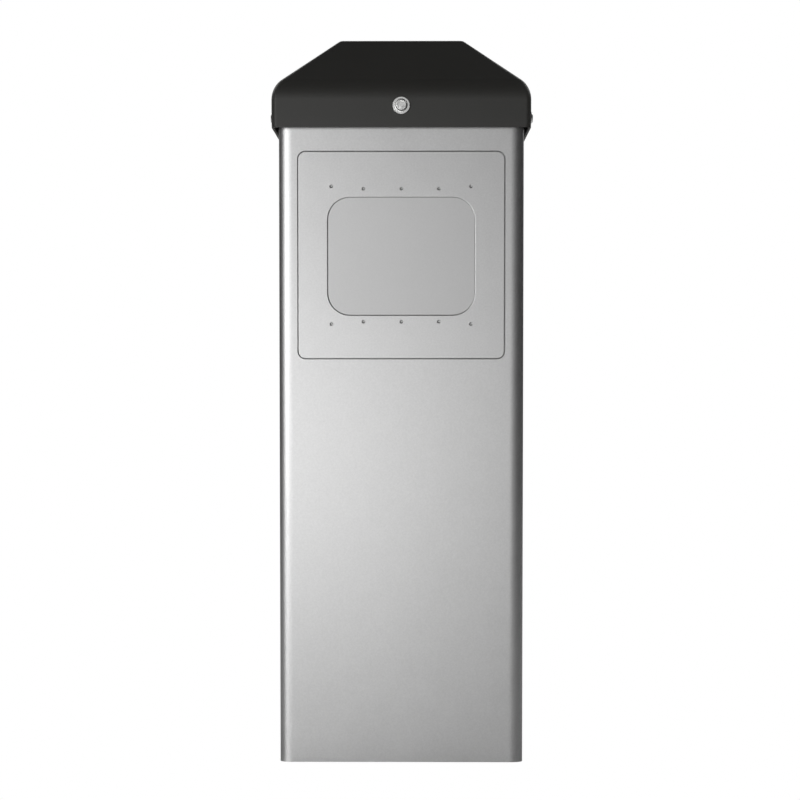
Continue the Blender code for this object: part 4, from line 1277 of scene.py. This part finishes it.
flange_spots = ring_spots((0, holder_low.y + CHANNEL_BACK, SHAFT_Z), 0.030, 6, start=math.pi / 6)
bolts("flange_bolts", flange_spots, 0.006, body="boom")
clamp_low, clamp_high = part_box("boom_clamp")
clamp_holes = [rod_y(x, z, CLAMP_HOLE_R, clamp_low.y - OVER, clamp_high.y + OVER, 32)
               for x, z in bolt_spots]
clamp = shaped("clamp_plate", block(clamp_low, clamp_high, 0.006), edge=0.0006, trim=clamp_holes)
finished(clamp, SATIN, "boom_clamp", body="boom")
for number, (x, z) in enumerate(bolt_spots, 1):
    low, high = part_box("clamp_bolt_%d" % number)
    head_y = clamp_high.y + GAP
    bolt = shaped("clamp_screw_%d" % number, rod_y(x, z, 0.0048, head_y, high.y, 48),
                  add=[rod_y(x, z, 0.003, low.y, head_y + 0.001, 32)], edge=0.0004,
                  trim=[rod_y(x, z, 0.0026, high.y - 0.0026, high.y + OVER, 6)])
    finished(bolt, STEEL, "clamp_bolt_%d" % number, body="boom")

# ---------------------------------------------------------------------------
# Controller: a grey plastic box on the housing's inner wall with a hinged lid, cable glands
# below, and a circuit board behind the lid.

box_low, box_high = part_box("controller_box")
CASE_WALL = 0.003
cavity_low = box_low + Vector((CASE_WALL,) * 3)
cavity_high = Vector((box_high.x - CASE_WALL, box_high.y + OVER, box_high.z - CASE_WALL))
case = shaped("controller_case", block(box_low, box_high, 0.006),
              cut=[block(cavity_low, cavity_high, 0.004)], edge=0.0005)
finished(case, PLASTIC, "controller_box")
gland = turned((0, 0, 0), (0, 0, -1),
               [(0.0090, 0.0002), (0.0090, 0.0030), (0.0082, 0.0034), (0.0080, 0.0120),
                (0.0062, 0.0140)], 24, 0.0040)
glands = row_of("cable_glands", gland, 4, (box_low.x + 0.023, -0.076, box_low.z), (0.026, 0, 0),
                PLASTIC)
finished(glands, PLASTIC, angle=30)

cover_low, cover_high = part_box("controller_cover")
KNOB_X = -0.108
KNOB_Z = 0.150
BUTTON_X = -0.055
COVER_INSET = 0.007
BUTTONS = {"open": 0.180, "stop": 0.150, "close": 0.120}
cover_cuts = [rod_y(BUTTON_X, z, 0.0063, cover_low.y - OVER, cover_high.y + OVER, 40)
              for z in BUTTONS.values()]
cover_cuts.append(rod_y(KNOB_X, KNOB_Z, 0.0043, cover_low.y - OVER, cover_high.y + OVER, 32))
lid = shaped("controller_lid_plate", block(cover_low, cover_high, 0.006), edge=0.0008, steps=3,
             trim=cover_cuts)
finished(lid, PLASTIC, "controller_cover", body="controller_lid")
cover_spots = [(x, cover_high.y, z)
               for x in (cover_low.x + COVER_INSET, cover_high.x - COVER_INSET)
               for z in (cover_low.z + COVER_INSET, cover_high.z - COVER_INSET)]
bolts("controller_lid_screws", cover_spots, 0.0028, body="controller_lid", washer=False)

BOARD = grained_finish("green_board", 0.0, ((0.012, 0.120, 0.050), (0.022, 0.170, 0.075)),
                       (0.28, 0.42), 0.0028, 0.012, 0.5)
eased("circuit_board", "controller_board", BOARD, 0.0002)
board_low, board_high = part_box("controller_board")
BOARD_FACE = board_high.y
relay = block((0, BOARD_FACE - 0.0002, 0), (0.016, BOARD_FACE + 0.015, 0.012), 0.0006)
relays = row_of("relays", relay, 4, (board_low.x + 0.010, 0, board_high.z - 0.032), (0.021, 0, 0),
                RED)
CHIPS = 3
CHIP_PITCH = 0.026
CHIP_Z = 0.180
chip_x = board_low.x + 0.014
chip = block((0, BOARD_FACE + 0.0008, 0), (0.010, BOARD_FACE + 0.0034, 0.020))
chips = row_of("chips", chip, CHIPS, (chip_x, 0, CHIP_Z), (CHIP_PITCH, 0, 0), RUBBER)
leg = block((-0.0012, BOARD_FACE - 0.0002, 0.0012), (0.0112, BOARD_FACE + 0.0016, 0.0019))
for number in range(CHIPS):
    legs = row_of("chip_legs_%d" % (number + 1), leg.copy(), 8,
                  (chip_x + number * CHIP_PITCH, 0, CHIP_Z), (0, 0, 0.0025), STEEL)
    finished(legs, STEEL)
can = turned((0, BOARD_FACE - 0.0002, 0), (0, 1, 0),
             [(0.0060, 0), (0.0062, 0.0010), (0.0056, 0.0018), (0.0062, 0.0028), (0.0062, 0.0150),
              (0.0054, 0.0158)], 32)
cans = row_of("capacitors", can, 5, (board_low.x + 0.016, 0, 0.148), (0.020, 0, 0), RUBBER)
terminal = block((0, BOARD_FACE - 0.0002, 0), (0.0046, BOARD_FACE + 0.010, 0.009), 0.0003)
screw_top = rod_y(0.0023, 0.0045, 0.0016, BOARD_FACE + 0.0095, BOARD_FACE + 0.0102, 12)
GREEN = grained_finish("green_plastic", 0.0, ((0.018, 0.26, 0.070), (0.026, 0.32, 0.090)),
                       (0.34, 0.46), 0.0015, 0.030, 0.4)
TERMINALS = 18
TERMINAL_PITCH = 0.005
terminal_at = (board_low.x + 0.012, 0, board_low.z + 0.006)
terminals = row_of("terminals", terminal, TERMINALS, terminal_at, (TERMINAL_PITCH, 0, 0), GREEN)
terminal_screws = row_of("terminal_screws", screw_top, TERMINALS, terminal_at,
                         (TERMINAL_PITCH, 0, 0), STEEL)
for item, finish in ((relays, RED), (chips, RUBBER), (cans, RUBBER), (terminals, GREEN),
                     (terminal_screws, STEEL)):
    finished(item, finish)

# Controls on the lid: three push buttons and the red handle of the mains switch.

for (use, z), finish in zip(BUTTONS.items(), (GREEN, RED, PLASTIC)):
    low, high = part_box("button_" + use)
    under = cover_high.y + 0.0037
    tall = high.y - under
    profile = [(0.0060, low.y), (0.0060, under - 0.0002), (0.0076, under),
               (0.0080, under + 0.0006), (0.0080, high.y - 0.0016), (0.0074, high.y - 0.0006),
               (0.0056, high.y), (0.0020, high.y - tall * 0.12)]
    button = add_object("button_%s_cap" % use, turned((BUTTON_X, 0, z), (0, 1, 0), profile, 56))
    finished(button, finish, "button_" + use, body=use + "_button", angle=30)
knob_low, knob_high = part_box("mains_knob")
knob = shaped("mains_handle",
              rod_y(KNOB_X, KNOB_Z, 0.015, cover_high.y + GAP, cover_high.y + 0.006, 64),
              add=[block((KNOB_X - 0.004, cover_high.y + 0.004, KNOB_Z - 0.013),
                         (KNOB_X + 0.004, knob_high.y, KNOB_Z + 0.013), 0.0035),
                   rod_y(KNOB_X, KNOB_Z, 0.004, knob_low.y, cover_high.y + 0.004, 32)],
              edge=0.0008, steps=3)
finished(knob, RED, "mains_knob", body="knob")

# ---------------------------------------------------------------------------
# Transformer: a stack of iron laminations round two taped windings, standing on the base
# plate on two feet.

LAMINATIONS = 15
LAMINATION_PITCH = 0.0030
STACK_Y = -0.0625
FOOT_DEPTH = 0.016
FOOT_T = 0.0032
SHEET_HALF = 0.0445
WINDOW_HALF = 0.0105
WINDOW_X = 0.0215
core_low, core_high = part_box("transformer")
sheet_z = core_low.z + 0.003
core_x = (core_low.x + core_high.x) / 2
windows = [block((x - WINDOW_HALF, -1, sheet_z + 0.014), (x + WINDOW_HALF, 1, core_high.z - 0.016))
           for x in (core_x - WINDOW_X, core_x + WINDOW_X)]
lamination = shaped("lamination", block((core_x - SHEET_HALF, 0, sheet_z),
                                        (core_x + SHEET_HALF, 0.0026, core_high.z - 0.001)),
                    cut=windows)
stack = row_of("laminations", lamination.data, LAMINATIONS, (0, STACK_Y, 0),
               (0, LAMINATION_PITCH, 0), CAST)
bpy.data.objects.remove(lamination)
finished(stack, CAST)
windings = shaped("windings",
                  block((core_x - 0.0310, core_low.y + 0.003, sheet_z + 0.0145),
                        (core_x + 0.0310, core_high.y - 0.003, core_high.z - 0.0165), 0.006, "Z"),
                  edge=0.003, steps=3)
finished(windings, PLASTIC)
foot_front, foot_back = [block((core_low.x, y, core_low.z),
                               (core_high.x, y + FOOT_DEPTH, core_low.z + FOOT_T))
                         for y in (-0.072, -0.024)]
feet = shaped("transformer_feet", foot_front, edge=0.0004)
feet = shaped("transformer_feet_pair", feet.data, add=[foot_back])
finished(feet, ZINC, "transformer")
